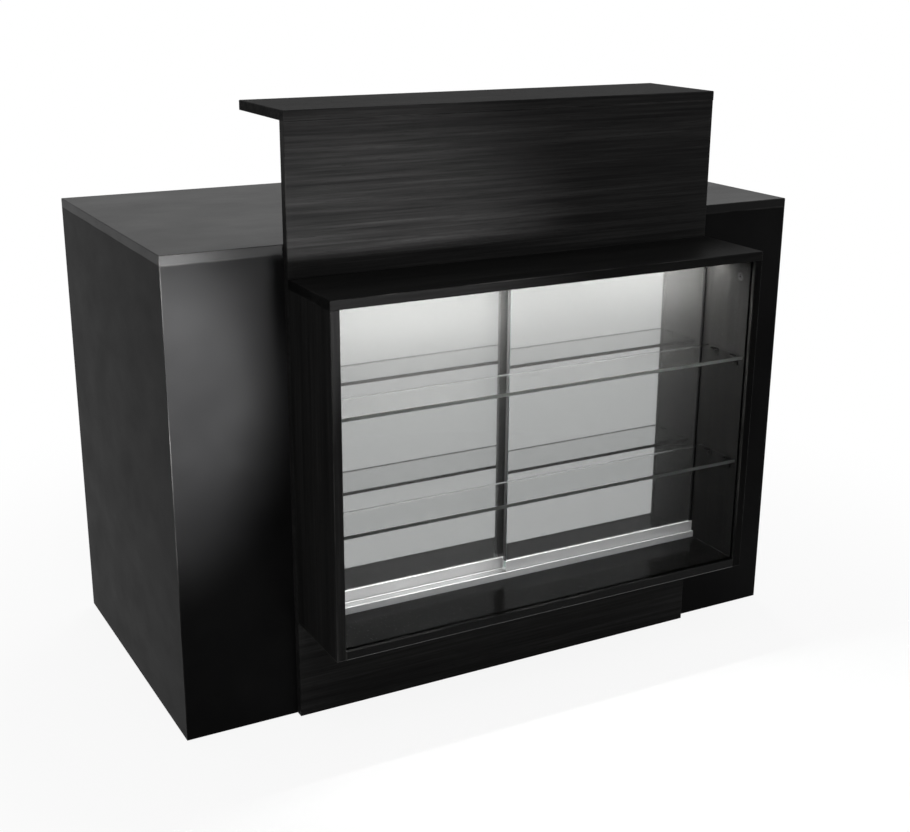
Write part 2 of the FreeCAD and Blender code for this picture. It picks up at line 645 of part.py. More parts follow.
# Mirror doors: each is a mirror in an H-shaped rail that rides on nylon skids, with a pull over its inner edge
# whose finger lip is on the staff side. The right door runs in the front channel and the left door behind it.
RAIL_BOTTOM = f"({BAY_FLOOR} + {BEAD} + rail_lift)"
RAIL_TOP = f"({RAIL_BOTTOM} + rail_height)"
RAIL_HALF = "(rail_width / 2)"
FOOT_HALF = f"({RAIL_HALF} - rail_wall)"
MIRROR_SEAT = "(rail_foot + rail_wall)"
MIRROR_HALF = "(mirror_thick / 2 + mirror_play)"
MIRROR_RISE = (f"{RAIL_BOTTOM} + {MIRROR_SEAT}", f"{BAY_ROOF} - top_track_wall - lift_room")
rail_outline = (
    (f"-{RAIL_HALF}", "0"), (f"-{FOOT_HALF}", "0"), (f"-{FOOT_HALF}", "rail_foot"), (FOOT_HALF, "rail_foot"),
    (FOOT_HALF, "0"), (RAIL_HALF, "0"), (RAIL_HALF, "rail_height"), (MIRROR_HALF, "rail_height"),
    (MIRROR_HALF, MIRROR_SEAT), (f"-{MIRROR_HALF}", MIRROR_SEAT), (f"-{MIRROR_HALF}", "rail_height"),
    (f"-{RAIL_HALF}", "rail_height"),
)
pull_steps = (
    ("0", "(-mirror_thick / 2)"), ("pull_web", "(-mirror_thick / 2)"), ("pull_web", MIRROR_HALF),
    ("pull_width", MIRROR_HALF), ("pull_width", f"({MIRROR_HALF} + pull_lip)"),
    ("pull_width - pull_wall", f"({MIRROR_HALF} + pull_lip)"),
    ("pull_width - pull_wall", f"({MIRROR_HALF} + pull_wall)"), ("0", f"({MIRROR_HALF} + pull_wall)"),
)
PULL_TOP = f"({BAY_ROOF} - top_track_height - pull_top_gap)"
SKID_WIDTH = f"(2 * {FOOT_HALF} - 2 * skid_play)"
SKID_BOTTOM = f"({BAY_FLOOR} + track_wall + skid_lift)"
DOOR_INNER, DOOR_OUTER = "(-door_overlap / 2)", f"({BAY_HALF} - door_gap)"
for side, channel, pull_way, staff_sign in (
    ("left", REAR_CHANNEL, LEFT, -1),
    ("right", FRONT_CHANNEL, RIGHT, 1),
):
    middle = f"({TRACK_FRONT} + {channel})"
    low, high = mirrored(side, DOOR_INNER, DOOR_OUTER)
    pull_edge, = mirrored(side, DOOR_INNER)
    keep(f"{side}_mirror", block(f"{side}_mirror_sheet",
                                 mirrored(side, f"{DOOR_INNER} + pull_web + mirror_play", DOOR_OUTER),
                                 about(middle, "mirror_thick"), MIRROR_RISE))
    keep(f"{side}_mirror_rail", put(
        extruded(f"{side}_rail_bar", "YZ_Plane", f"({high}) - ({low})", *rail_outline),
        (f"({low} + {high}) / 2", middle, RAIL_BOTTOM)))
    pull_outline = [(along, f"{staff_sign} * {across}") for along, across in pull_steps]
    keep(f"{side}_mirror_pull", put(
        extruded(f"{side}_pull_bar", "XY_Plane", f"{PULL_TOP} - {RAIL_TOP}", *pull_outline),
        (pull_edge, middle, f"({PULL_TOP} + {RAIL_TOP}) / 2"), turned_to(pull_way, UP)))
    for end, start in (("left", f"({low} + skid_inset)"), ("right", f"({high} - skid_inset - skid_length)")):
        name = f"{side}_door_{end}_skid"
        nylon = block(f"{name}_block", from_to(start, "skid_length"), about(middle, SKID_WIDTH),
                      (SKID_BOTTOM, f"{RAIL_BOTTOM} + rail_foot"))
        groove = block(f"{name}_groove", (f"{start} - skid_play", f"{start} + skid_length + skid_play"),
                       about(middle, "track_bead + 2 * skid_play"),
                       (f"{SKID_BOTTOM} - skid_lift", f"{BAY_FLOOR} + {BEAD} + skid_play"))
        groups.setdefault(f"{side}_mirror_skids", []).append(without(name, nylon, groove))

# Light under the showcase top: a channel with a strip in its roof and a diffuser in its mouth
LIGHT_HALF = f"({BAY_HALF} - light_end)"
LIGHT_MIDDLE = f"({SHOWCASE_FRONT} + light_setback + light_width / 2)"
CHANNEL_HALF = "(light_width / 2 - light_wall)"
light_bar = extruded(
    "light_bar", "YZ_Plane", f"2 * {LIGHT_HALF}",
    ("-light_width / 2", "0"), ("-light_width / 2", "-light_height"), (f"-{CHANNEL_HALF}", "-light_height"),
    (f"-{CHANNEL_HALF}", "-light_wall"), (CHANNEL_HALF, "-light_wall"), (CHANNEL_HALF, "-light_height"),
    ("light_width / 2", "-light_height"), ("light_width / 2", "0"),
)
keep("light_profile", put(light_bar, ("0", LIGHT_MIDDLE, BAY_ROOF)))
keep("light_strip", block("strip", evenly(LIGHT_HALF), about(LIGHT_MIDDLE, "strip_width"),
                          (f"{BAY_ROOF} - light_wall - strip_thick", f"{BAY_ROOF} - light_wall")))
keep("light_diffuser", block("diffuser", evenly(LIGHT_HALF),
                             about(LIGHT_MIDDLE, f"2 * {CHANNEL_HALF} - 2 * diffuser_play"),
                             from_to(f"({BAY_ROOF} - light_height)", "diffuser_thick")))

# Light driver under the worktop in the right tower, with its mains inlet towards the staff
DRIVER_FRONT = f"({PANEL_BACK} + driver_setback + driver_ear)"
DRIVER_BACK = f"({DRIVER_FRONT} + driver_length)"
DRIVER_BOTTOM = f"({UNDER_TOP} - driver_height)"
driver_box = joined(
    "driver_box",
    block("driver_case", about(TOWER_MIDDLE, "driver_width"), (DRIVER_FRONT, DRIVER_BACK),
          (DRIVER_BOTTOM, UNDER_TOP)),
    block("driver_ears", about(TOWER_MIDDLE, "driver_ear_width"),
          (f"{DRIVER_FRONT} - driver_ear", f"{DRIVER_BACK} + driver_ear"),
          (f"{UNDER_TOP} - driver_ear_thick", UNDER_TOP)),
)
driver_inlet = block("driver_inlet", about(TOWER_MIDDLE, "inlet_width"),
                     about(DRIVER_BACK, "2 * inlet_depth"),
                     from_to(f"({DRIVER_BOTTOM} + inlet_rise)", "inlet_height"))
keep("light_driver", without("driver", driver_box, driver_inlet))

# Light switch in the right inner upright, facing the knee space
PIVOT_X = f"({KNEE_HALF} + rocker_pivot)"
housing = joined(
    "switch_housing",
    block("switch_bezel", (f"{KNEE_HALF} - bezel_thick", KNEE_HALF), about(SWITCH_Y, "bezel_width"),
          about("switch_height", "bezel_height")),
    block("switch_body", from_to(KNEE_HALF, "switch_body_depth"), about(SWITCH_Y, "switch_body_width"),
          about("switch_height", "switch_body_height")),
)
well = joined(
    "switch_wells",
    block("rocker_well", (f"{KNEE_HALF} - 2 * bezel_thick", f"{KNEE_HALF} + switch_well"),
          about(SWITCH_Y, "rocker_width + 2 * rocker_gap"),
          about("switch_height", "rocker_length + 2 * rocker_swing")),
    rod("pivot_bore", "rocker_pivot + 2 * pivot_fit", "rocker_pivot_length + 2 * pivot_fit",
        (PIVOT_X, f"{SWITCH_Y} - rocker_pivot_length / 2 - pivot_fit", "switch_height"), TO_STAFF),
)
keep("light_switch_housing", without("switch_shell", housing, well))
ROCKER_FACE = "(-rocker_rise - rocker_pivot)"
paddle = extruded(
    "rocker_paddle", "XZ_Plane", "rocker_width",
    (ROCKER_FACE, "rocker_length / 2"), (f"{ROCKER_FACE} + rocker_dip", "0"),
    (ROCKER_FACE, "-rocker_length / 2"), ("-rocker_pivot / 2", "-rocker_length / 2"),
    ("rocker_pivot", "-rocker_pivot"), ("rocker_pivot", "rocker_pivot"),
    ("-rocker_pivot / 2", "rocker_length / 2"),
)
trunnion = rod("rocker_trunnion", "rocker_pivot", "rocker_pivot_length",
               ("0", "-rocker_pivot_length / 2", "0"), TO_STAFF)
rocker = joined("rocker", paddle, trunnion)
put(rocker, (PIVOT_X, SWITCH_Y, "switch_height"), FreeCAD.Rotation(FreeCAD.Vector(*TO_STAFF), 1))
bind(rocker, **{"Placement.Rotation.Angle": "-rocker_tilt"})
keep("light_switch_rocker", rocker)

# Cable grommet: a ring in the worktop and a cap that turns on its seat
GROMMET_PLACE = (TOWER_MIDDLE, GROMMET_Y, "worktop_height")
RING_OUTSIDE = "(grommet_hole / 2 - grommet_fit)"
RING_INSIDE = f"({RING_OUTSIDE} - grommet_wall)"
SEAT_EDGE = f"({RING_INSIDE} + grommet_seat)"
FLANGE_EDGE = "(grommet_hole / 2 + grommet_flange)"
CAP_BOTTOM = "(grommet_lip - cap_thick)"
ring = lathed(
    "grommet_ring",
    (RING_INSIDE, "-grommet_skirt"), (RING_OUTSIDE, "-grommet_skirt"), (RING_OUTSIDE, "0"),
    (FLANGE_EDGE, "0"), (FLANGE_EDGE, "grommet_lip"), (SEAT_EDGE, "grommet_lip"),
    (SEAT_EDGE, CAP_BOTTOM), (RING_INSIDE, CAP_BOTTOM),
)
keep("cable_grommet", put(ring, GROMMET_PLACE))
cap_disc = rod("cap_disc", f"2 * ({SEAT_EDGE} - cap_fit)", "cap_thick", ("0", "0", CAP_BOTTOM), UP)
cap_slot = block("cap_slot", evenly("cap_slot_width / 2"), about(SEAT_EDGE, "2 * cap_slot_depth"),
                 (f"{CAP_BOTTOM} - cap_thick", f"{CAP_BOTTOM} + 2 * cap_thick"))
keep("grommet_cap", put(without("slotted_cap", cap_disc, cap_slot), GROMMET_PLACE))

# Drawer: front, two sides, back and a bottom let into grooves
DRAWER_FACE = f"({BACK} - drawer_recess)"
DRAWER_INNER = f"({DRAWER_FACE} - board)"
DRAWER_END = f"({DRAWER_INNER} - drawer_depth)"
FRONT_TOP = f"({UNDER_TOP} - drawer_gap)"
FRONT_BOTTOM = f"({FRONT_TOP} - drawer_front_height)"
BOX_RISE = (f"({FRONT_BOTTOM} + drawer_rise)", f"({FRONT_TOP} - drawer_head)")
BOX_HALF = f"({KNEE_HALF} - runner_gap)"
BOX_INSIDE = f"({BOX_HALF} - drawer_board)"
DRAWER_FLOOR = f"({BOX_RISE[0]} + drawer_bottom_rise)"
FLOOR_BITE = "(groove_bite - groove_play)"
LOCK_HEIGHT = f"({FRONT_TOP} - lock_drop)"
floor_groove = block(
    "drawer_groove", evenly(f"{BOX_INSIDE} + groove_bite"),
    (f"{DRAWER_END} - groove_bite", f"{DRAWER_INNER} + groove_bite"),
    (f"{DRAWER_FLOOR} - groove_play", f"{DRAWER_FLOOR} + drawer_bottom_thick + groove_play"),
)
for label in ("drawer_front", "drawer_left_side", "drawer_right_side"):
    cut_from(label, floor_groove)
cut_from("drawer_front", rod("lock_drilling", "lock_body + 2 * lock_fit", "2 * board",
                             ("0", f"{DRAWER_INNER} - board / 2", LOCK_HEIGHT), TO_STAFF))
keep("drawer_front", eased_block("drawer_front_board", TO_STAFF, evenly(f"{KNEE_HALF} - drawer_gap"),
                                 (DRAWER_INNER, DRAWER_FACE), (FRONT_BOTTOM, FRONT_TOP)))
for side in ("left", "right"):
    label = f"drawer_{side}_side"
    keep(label, block(f"{label}_board", mirrored(side, BOX_INSIDE, BOX_HALF), (DRAWER_END, DRAWER_INNER),
                      BOX_RISE))
keep("drawer_back", block("drawer_back_board", evenly(BOX_INSIDE), from_to(DRAWER_END, "drawer_board"),
                          (f"{DRAWER_FLOOR} + drawer_bottom_thick", BOX_RISE[1])))
keep("drawer_bottom", block("drawer_bottom_board", evenly(f"{BOX_INSIDE} + {FLOOR_BITE}"),
                            (DRAWER_END, f"{DRAWER_INNER} + {FLOOR_BITE}"),
                            from_to(DRAWER_FLOOR, "drawer_bottom_thick")))

# Runners on the uprights, and the slides on the drawer that nest in them
RUNNER_HALF = "(runner_height / 2)"
LEDGE_HALF = f"({RUNNER_HALF} - runner_steel)"
SLIDE_HALF = f"({LEDGE_HALF} - runner_play)"
SLIDE_INSIDE = f"({SLIDE_HALF} - runner_steel)"
SLIDE_TIP = "(runner_steel + runner_tip)"
SLIDE_WEB = "(runner_gap - runner_steel)"
runner_outline = (
    ("0", f"-{RUNNER_HALF}"), ("runner_reach", f"-{RUNNER_HALF}"), ("runner_reach", f"-{LEDGE_HALF}"),
    ("runner_steel", f"-{LEDGE_HALF}"), ("runner_steel", LEDGE_HALF), ("runner_reach", LEDGE_HALF),
    ("runner_reach", RUNNER_HALF), ("0", RUNNER_HALF),
)
slide_outline = (
    ("runner_gap", f"-{SLIDE_HALF}"), ("runner_gap", SLIDE_HALF), (SLIDE_TIP, SLIDE_HALF),
    (SLIDE_TIP, SLIDE_INSIDE), (SLIDE_WEB, SLIDE_INSIDE), (SLIDE_WEB, f"-{SLIDE_INSIDE}"),
    (SLIDE_TIP, f"-{SLIDE_INSIDE}"), (SLIDE_TIP, f"-{SLIDE_HALF}"),
)
for side, way in (("left", RIGHT), ("right", LEFT)):
    wall, = mirrored(side, KNEE_HALF)
    place = (wall, f"({DRAWER_END} + {DRAWER_INNER}) / 2", f"({BOX_RISE[0]} + {BOX_RISE[1]}) / 2")
    runner = extruded(f"{side}_runner_bar", "XZ_Plane", "drawer_depth", *runner_outline)
    keep(f"{side}_runner", put(runner, place, turned_to(way, UP)))
    slide = extruded(f"{side}_slide_bar", "XZ_Plane", "drawer_depth", *slide_outline)
    groups.setdefault("drawer_slides", []).append(put(slide, place, turned_to(way, UP)))

# Drawer handle: a bar on two posts
HANDLE_Y = f"({DRAWER_FACE} + handle_standoff)"
HANDLE_Z = f"({FRONT_BOTTOM} + handle_rise)"
posts = [
    rod(f"handle_{side}_post", "handle_post", "handle_standoff",
        (*mirrored(side, "handle_centres / 2"), DRAWER_FACE, HANDLE_Z), TO_STAFF)
    for side in ("left", "right")
]
bar = rod("handle_bar", "handle_diameter", "handle_length", ("-handle_length / 2", HANDLE_Y, HANDLE_Z), RIGHT)
keep("drawer_handle", joined("handle", bar, *posts))

# Drawer lock: barrel in the front, plug with its tongue, keeper under the worktop
LOCK_PLACE = ("0", DRAWER_FACE, LOCK_HEIGHT)
LOCK_TURN = turned_to(LEFT, TO_STAFF)
BARREL_END = "(-board - lock_stand)"
TONGUE_RISE = (f"({BARREL_END} - tongue_gap - tongue_thick)", f"({BARREL_END} - tongue_gap)")
PLUG_RADIUS = "(plug_diameter / 2 - plug_fit)"
PLUG_FACE = "(lock_flange_thick - plug_sink)"
barrel = lathed(
    "barrel",
    ("plug_diameter / 2", BARREL_END), ("lock_body / 2", BARREL_END), ("lock_body / 2", "0"),
    ("lock_flange / 2", "0"), ("lock_flange / 2 - lock_flange_ease", "lock_flange_thick"),
    ("plug_diameter / 2", "lock_flange_thick"),
)
keep("lock_barrel", put(barrel, LOCK_PLACE, LOCK_TURN))
plug_rod = rod("plug_rod", f"2 * {PLUG_RADIUS}", f"{PLUG_FACE} - {TONGUE_RISE[0]}",
               ("0", "0", TONGUE_RISE[0]), UP)
tongue = block("tongue", (f"-{PLUG_RADIUS}", "tongue_reach"), evenly("tongue_width / 2"), TONGUE_RISE)
key_slot = block("key_slot", evenly("key_width / 2"), evenly("key_height / 2"),
                 about(PLUG_FACE, "2 * key_depth"))
plug = without("slotted_plug", joined("plug_and_tongue", plug_rod, tongue), key_slot)
keep("lock_plug", put(plug, LOCK_PLACE, LOCK_TURN))
keeper = extruded(
    "keeper_angle", "YZ_Plane", "keeper_width",
    ("0", "0"), ("0", "-keeper_drop"), ("-keeper_steel", "-keeper_drop"), ("-keeper_steel", "-keeper_steel"),
    ("-keeper_foot", "-keeper_steel"), ("-keeper_foot", "0"),
)
keep("lock_keeper", put(keeper, ("0", f"{DRAWER_INNER} - keeper_gap", UNDER_TOP)))

# Sets of like pieces, each kept as one sub-part
for label, pieces in groups.items():
    group = doc.addObject("Part::Compound", label)
    group.Links = pieces
    keep(label, group)
doc.recompute()

for piece in doc.Objects:
    if {"Invalid", "Error"} & set(piece.State):
        raise RuntimeError(f"{piece.Label} failed: {piece.State}")
for piece in sub_parts:
    if piece.Shape.isNull() or not piece.Shape.isValid():
        raise RuntimeError(f"{piece.Label} has no valid shape")
os.makedirs("parts", exist_ok=True)
for piece in sub_parts:
    piece.Shape.exportStep(f"parts/{piece.Label}.step")
print(f"{len(sub_parts)} sub-parts, {sum(len(piece.Shape.Solids) for piece in sub_parts)} solids")
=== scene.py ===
"""Reception desk with a lit showcase: the finishes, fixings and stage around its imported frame.

Metres, +Z up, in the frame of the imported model. Visitors stand on the -Y side and staff on the +Y side.
"""

import json
import math

import bpy
from bpy.props import FloatProperty, FloatVectorProperty, IntProperty, PointerProperty
from mathutils import Matrix, Vector


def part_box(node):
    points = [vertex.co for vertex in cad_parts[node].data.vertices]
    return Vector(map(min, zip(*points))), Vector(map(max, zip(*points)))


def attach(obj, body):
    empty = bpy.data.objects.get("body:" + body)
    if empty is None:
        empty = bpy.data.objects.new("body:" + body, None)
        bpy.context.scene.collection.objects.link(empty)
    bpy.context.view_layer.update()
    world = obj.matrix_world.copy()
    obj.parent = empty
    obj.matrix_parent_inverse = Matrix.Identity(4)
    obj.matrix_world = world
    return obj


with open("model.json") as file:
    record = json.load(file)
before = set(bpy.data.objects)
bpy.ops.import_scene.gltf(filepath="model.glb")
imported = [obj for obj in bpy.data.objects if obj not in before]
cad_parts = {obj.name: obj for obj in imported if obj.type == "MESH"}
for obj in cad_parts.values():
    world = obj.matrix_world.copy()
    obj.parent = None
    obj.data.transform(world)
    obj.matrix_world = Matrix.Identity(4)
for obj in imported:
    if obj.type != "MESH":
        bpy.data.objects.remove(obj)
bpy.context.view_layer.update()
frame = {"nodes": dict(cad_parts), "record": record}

bl_info = {
    "name": "Reception Desk",
    "version": (1, 0, 0),
    "blender": (4, 5, 0),
    "location": "View3D > Sidebar > Desk",
    "description": "Finishes, fixings and stage of a reception desk with a lit showcase",
    "category": "Object",
}

LEFT, RIGHT = (-1, 0, 0), (1, 0, 0)
TO_VISITOR, TO_STAFF = (0, -1, 0), (0, 1, 0)
DOWN = (0, 0, -1)
X, Y, Z = 0, 1, 2
# How far a normal leans along an axis: less than the first on an edge, more than the second on a face
ON_EDGE, ON_FACE = 0.5, 0.6
# How far a rubbed edge takes on the colour of wear
WORN = 0.45
# Cells of the spangle on plated metal, per metre
SPANGLE = 420.0
# Corners of a round screw head and of a chip's window, and steps across a rounded trim
HEAD_CORNERS, WINDOW_CORNERS, TRIM_STEPS = 20, 16, 12
# Roughness, shine and painted light of the grained boards: the third number scales the colours, paler or darker
# board by board as painted light and shade
BOARD_LOOKS = {
    "fascia": (0.36, 0.014, 1.05),
    "ledge": (0.38, 0.002, 1.2),
    "showcase_deck": (0.05, 0.07, 0.12),
    "showcase_top": (0.34, 0.012, 0.4),
    "showcase_left_side": (0.34, 0.01, 0.85),
    "showcase_right_side": (0.34, 0.006, 0.29),
}
# Shine and painted light of the satin boards that visitors see, and of those on the staff side: the second
# number scales the colours, and paints the staff side paler as painted light
SATIN_LOOKS = {
    "worktop": (0.056, 1.0),
    "front_panel": (0.012, 1.0),
    "left_end_panel": (0.012, 1.0),
    "right_end_panel": (0.012, 1.0),
}
STAFF_SATIN_PAINTED_LIGHT = (0.035, 3.6)
# Broad lamps: place, target, width in metres and power in watts
LAMPS = {
    "key": ((-0.9, -2.4, 3.2), (-0.2, -0.2, 0.8), 1.8, 40),
    "fill": ((2.8, -0.6, 2.6), (0.3, 0.0, 0.6), 2.0, 6),
    "back": ((0.3, 1.6, 3.2), (0.0, 0.3, 0.6), 2.0, 34),
    "staff": ((1.3, 2.3, 0.42), (0.0, 0.3, 0.42), 0.8, 36),
}
# Spots that lay a soft pool of light on the boards alone: place, target, stretch, angle in radians and power
POOLS = {
    "panel_pool": ((-0.47, -0.96, 0.77), (-0.6, -0.211, 0.6), (1, 1.7, 1), 0.46, 440),
    "fascia_pool": ((-0.3, -1.25, 0.6), (-0.26, -0.229, 0.82), (1.5, 1, 1), 0.5, 108),
}
# Radius of a spot, half the floor's width, and the width of the camera's sensor in millimetres
POOL_RADIUS = 0.05
FLOOR_HALF = 6
SENSOR_WIDTH = 36


# What a user would change: colours, sizes of the small fixings, and the stage

def colour(name, description, default):
    """A colour that the panel shows."""
    return FloatVectorProperty(name=name, description=description, default=default, size=3, min=0, max=1,
                               subtype="COLOR")


def length(name, description, default):
    """A length that the panel shows."""
    return FloatProperty(name=name, description=description, default=default, min=0, precision=4,
                         unit="LENGTH")


def amount(name, description, default):
    """A plain number that the panel shows."""
    return FloatProperty(name=name, description=description, default=default, min=0)


def angle(name, description, degrees):
    """An angle that the panel shows."""
    return FloatProperty(name=name, description=description, default=math.radians(degrees), subtype="ANGLE")


def point(name, description, default):
    """A place that the panel shows."""
    return FloatVectorProperty(name=name, description=description, default=default, size=3, subtype="XYZ",
                               unit="LENGTH")


class DeskFinishes(bpy.types.PropertyGroup):
    """Colours and scales of the desk's finishes."""

    laminate_deep: colour("Laminate, deep", "Darker cloud of the satin laminate", (0.0034, 0.0034, 0.0035))
    laminate_pale: colour("Laminate, pale", "Paler cloud of the satin laminate", (0.006, 0.006, 0.0061))
    wear: colour("Wear", "Rubbed edges of the laminates", (0.05, 0.049, 0.048))
    grain_deep: colour("Grain, deep", "Valleys of the wood grain", (0.0072, 0.0072, 0.0073))
    grain_middle: colour("Grain, middle", "Body of the wood grain", (0.0125, 0.0124, 0.0123))
    grain_pale: colour("Grain, pale", "Crests of the wood grain", (0.022, 0.0219, 0.0217))
    grain_pitch: length("Grain pitch", "Width of a grain streak", 0.006)
    grain_length: length("Grain length", "Length of a grain streak", 0.3)
    glass: colour("Glass", "What the front glass lets through", (0.965, 0.972, 0.97))
    shelf_glass: colour("Shelf glass", "What the glass shelves let through", (0.85, 0.856, 0.854))
    glass_shade: colour("Glass shade", "What one face of the glass lets through from a lamp",
                        (0.8, 0.805, 0.803))
    glass_edge: colour("Glass edge", "What a ground edge of the glass lets through", (0.045, 0.05, 0.048))
    # Painted shade: glass edges that face away from visitors are coloured near black
    painted_shade_edge: colour("Hidden edge", "Edges of the glass that face away from visitors",
                        (0.001, 0.0011, 0.0011))
    glass_index: amount("Glass index", "Refractive index of the shelves", 1.28)
    low_glare_index: amount("Front glass index", "Refractive index of the low-glare front glass", 1.03)
    silver: colour("Silver", "Silvered side of a mirror", (0.355, 0.357, 0.357))
    mirror_haze: amount("Mirror haze", "Roughness of the film of haze on a mirror", 0.43)
    silver_share: amount("Silver share", "How far a mirror's face is metal, the rest being dust", 0.97)
    mirror_edge: colour("Mirror edge", "Ground edge of a mirror", (0.2, 0.36, 0.31))
    mirror_paint: colour("Mirror paint", "Paint on the back of a mirror", (0.26, 0.28, 0.29))
    aluminium: colour("Aluminium", "Bright extrusions", (0.53, 0.53, 0.537))
    dark_aluminium: colour("Dark aluminium", "Edge pulls of the doors", (0.035, 0.035, 0.036))
    zinc: colour("Zinc", "Plated fittings", (0.58, 0.58, 0.59))
    burnished: colour("Burnished zinc", "Cams, shelf clips and clip screws of the showcase",
                      (0.01, 0.01, 0.0105))
    steel: colour("Steel", "Drawer handle", (0.6, 0.6, 0.61))
    chrome: colour("Chrome", "Barrel of the drawer lock", (0.75, 0.75, 0.76))
    nickel: colour("Nickel", "Plug of the drawer lock", (0.36, 0.355, 0.345))
    powder_coat: colour("Powder coat", "Ledge brackets", (0.035, 0.035, 0.036))
    plastic: colour("Plastic", "Moulded black plastic", (0.032, 0.032, 0.033))
    rocker: colour("Rocker", "Gloss black rocker of the switch", (0.022, 0.022, 0.023))
    # The trim's near-black colour is partly painted shade, standing in for the shaded gap beside a mirror
    rubber_and_gap_shade: colour("Rubber", "Trim of the mirrors", (0.003, 0.003, 0.0031))
    nylon: colour("Nylon", "Skids under the doors", (0.84, 0.84, 0.8))
    glide: colour("Glide", "Glides under the panels", (0.62, 0.61, 0.57))
    drawer_base: colour("Drawer base", "Pale hardboard in the drawer", (0.56, 0.53, 0.48))
    light: colour("Light", "Light of the showcase", (1.0, 0.985, 0.955))
    light_strength: amount("Light strength", "Brightness of the diffuser", 1120)


class DeskFixings(bpy.types.PropertyGroup):
    """Sizes of the mirrors' trim, the screws and the light strip's chips."""

    trim_width: length("Trim width", "Dark trim down the outer edge of a mirror", 0.0065)
    trim_rise: length("Trim rise", "How far the trim stands off the mirror", 0.002)
    head: length("Screw head", "Diameter of the larger screw heads", 0.0085)
    small_head: length("Small screw head", "Diameter of the smaller screw heads", 0.0055)
    head_rise: amount("Head rise", "Height of a screw head, as a share of its diameter", 0.32)
    head_crown: amount("Head crown", "Flat on top of a head, as a share of its diameter", 0.62)
    cross: amount("Cross", "Span of the driver cross, as a share of the head", 0.56)
    cross_arm: amount("Cross arm", "Width of an arm of the cross, as a share of the head", 0.13)
    chip_count: IntProperty(name="Chips", description="Chips along the light strip", default=46, min=2)
    chip: length("Chip", "Side of a light chip", 0.005)
    chip_rise: length("Chip rise", "Height of a light chip", 0.0014)


class DeskStage(bpy.types.PropertyGroup):
    """Camera, floor and the light from all round."""

    camera_place: point("Camera", "Place of the camera", (-1.2096, -2.2368, 1.2522))
    azimuth: angle("Azimuth", "Side that the camera looks from", -28.685)
    elevation: angle("Elevation", "Height that the camera looks from", 18.012)
    roll: angle("Roll", "Turn of the camera about its own axis", 0.399)
    lens: FloatProperty(name="Lens", description="Focal length", default=55.26, unit="CAMERA")
    floor: colour("Floor", "Pale floor", (0.75, 0.75, 0.75))
    floor_white: amount("Floor white", "How far the floor that is seen is plain white", 0.9)
    shadow_reach: length("Shadow reach", "Where the floor starts to fade to white", 0.8)
    ambient: amount("Ambient", "Strength of the light from all round", 0.42)


# Node trees: one method adds any node, and the values it gives can be added, multiplied and compared

class Value:
    """One output socket, with the arithmetic that finishes are written in."""

    def __init__(self, nodes, socket):
        self.nodes = nodes
        self.socket = socket

    def maths(self, operation, *values):
        return self.nodes.node("ShaderNodeMath", {"operation": operation}, dict(enumerate(values)))

    def __add__(self, other):
        return self.maths("ADD", self, other)

    __radd__ = __add__

    def __sub__(self, other):
        return self.maths("SUBTRACT", self, other)

    def __rsub__(self, other):
        return self.maths("SUBTRACT", other, self)

    def __mul__(self, other):
        return self.maths("MULTIPLY", self, other)

    __rmul__ = __mul__

    def __abs__(self):
        return self.maths("ABSOLUTE", self)

    def lower(self, other):
        return self.maths("MINIMUM", self, other)

    def higher(self, other):
        return self.maths("MAXIMUM", self, other)

    def between(self, low, high):
        """A smooth step from 0 at low to 1 at high."""
        return self.nodes.node("ShaderNodeMapRange", {"interpolation_type": "SMOOTHSTEP"},
                               {"Value": self, "From Min": low, "From Max": high})


class Nodes:
    """A node tree as it is made."""

    def __init__(self, tree):
        self.tree = tree
        tree.nodes.clear()

    @staticmethod
    def pick(sockets, key):
        """A socket by its number, or the one in use that has a name."""
        if isinstance(key, int):
            return sockets[key]
        return next(socket for socket in sockets if socket.name == key and socket.enabled)

    def node(self, kind, settings=None, sockets=None, output=0):
        """Adds a node, sets it up, fills its sockets with values or links, and gives one of its outputs."""
        made = self.tree.nodes.new(kind)
        for name, value in (settings or {}).items():
            if name == "stops":
                self.fill_ramp(made.color_ramp, value)
            else:
                setattr(made, name, value)
        for key, value in (sockets or {}).items():
            socket = self.pick(made.inputs, key)
            links = value if isinstance(value, list) else [value]
            if isinstance(links[0], Value):
                for link in links:
                    self.tree.links.new(link.socket, socket)
            elif socket.type == "RGBA":
                socket.default_value = (*value, 1)
            else:
                socket.default_value = value
        return Value(self, self.pick(made.outputs, output)) if len(made.outputs) else None

    @staticmethod
    def fill_ramp(ramp, stops):
        """Sets the stops of a colour ramp."""
        while len(ramp.elements) < len(stops):
            ramp.elements.new(1)
        for element, (position, shade) in zip(ramp.elements, stops):
            element.position = position
            element.color = (*shade, 1)


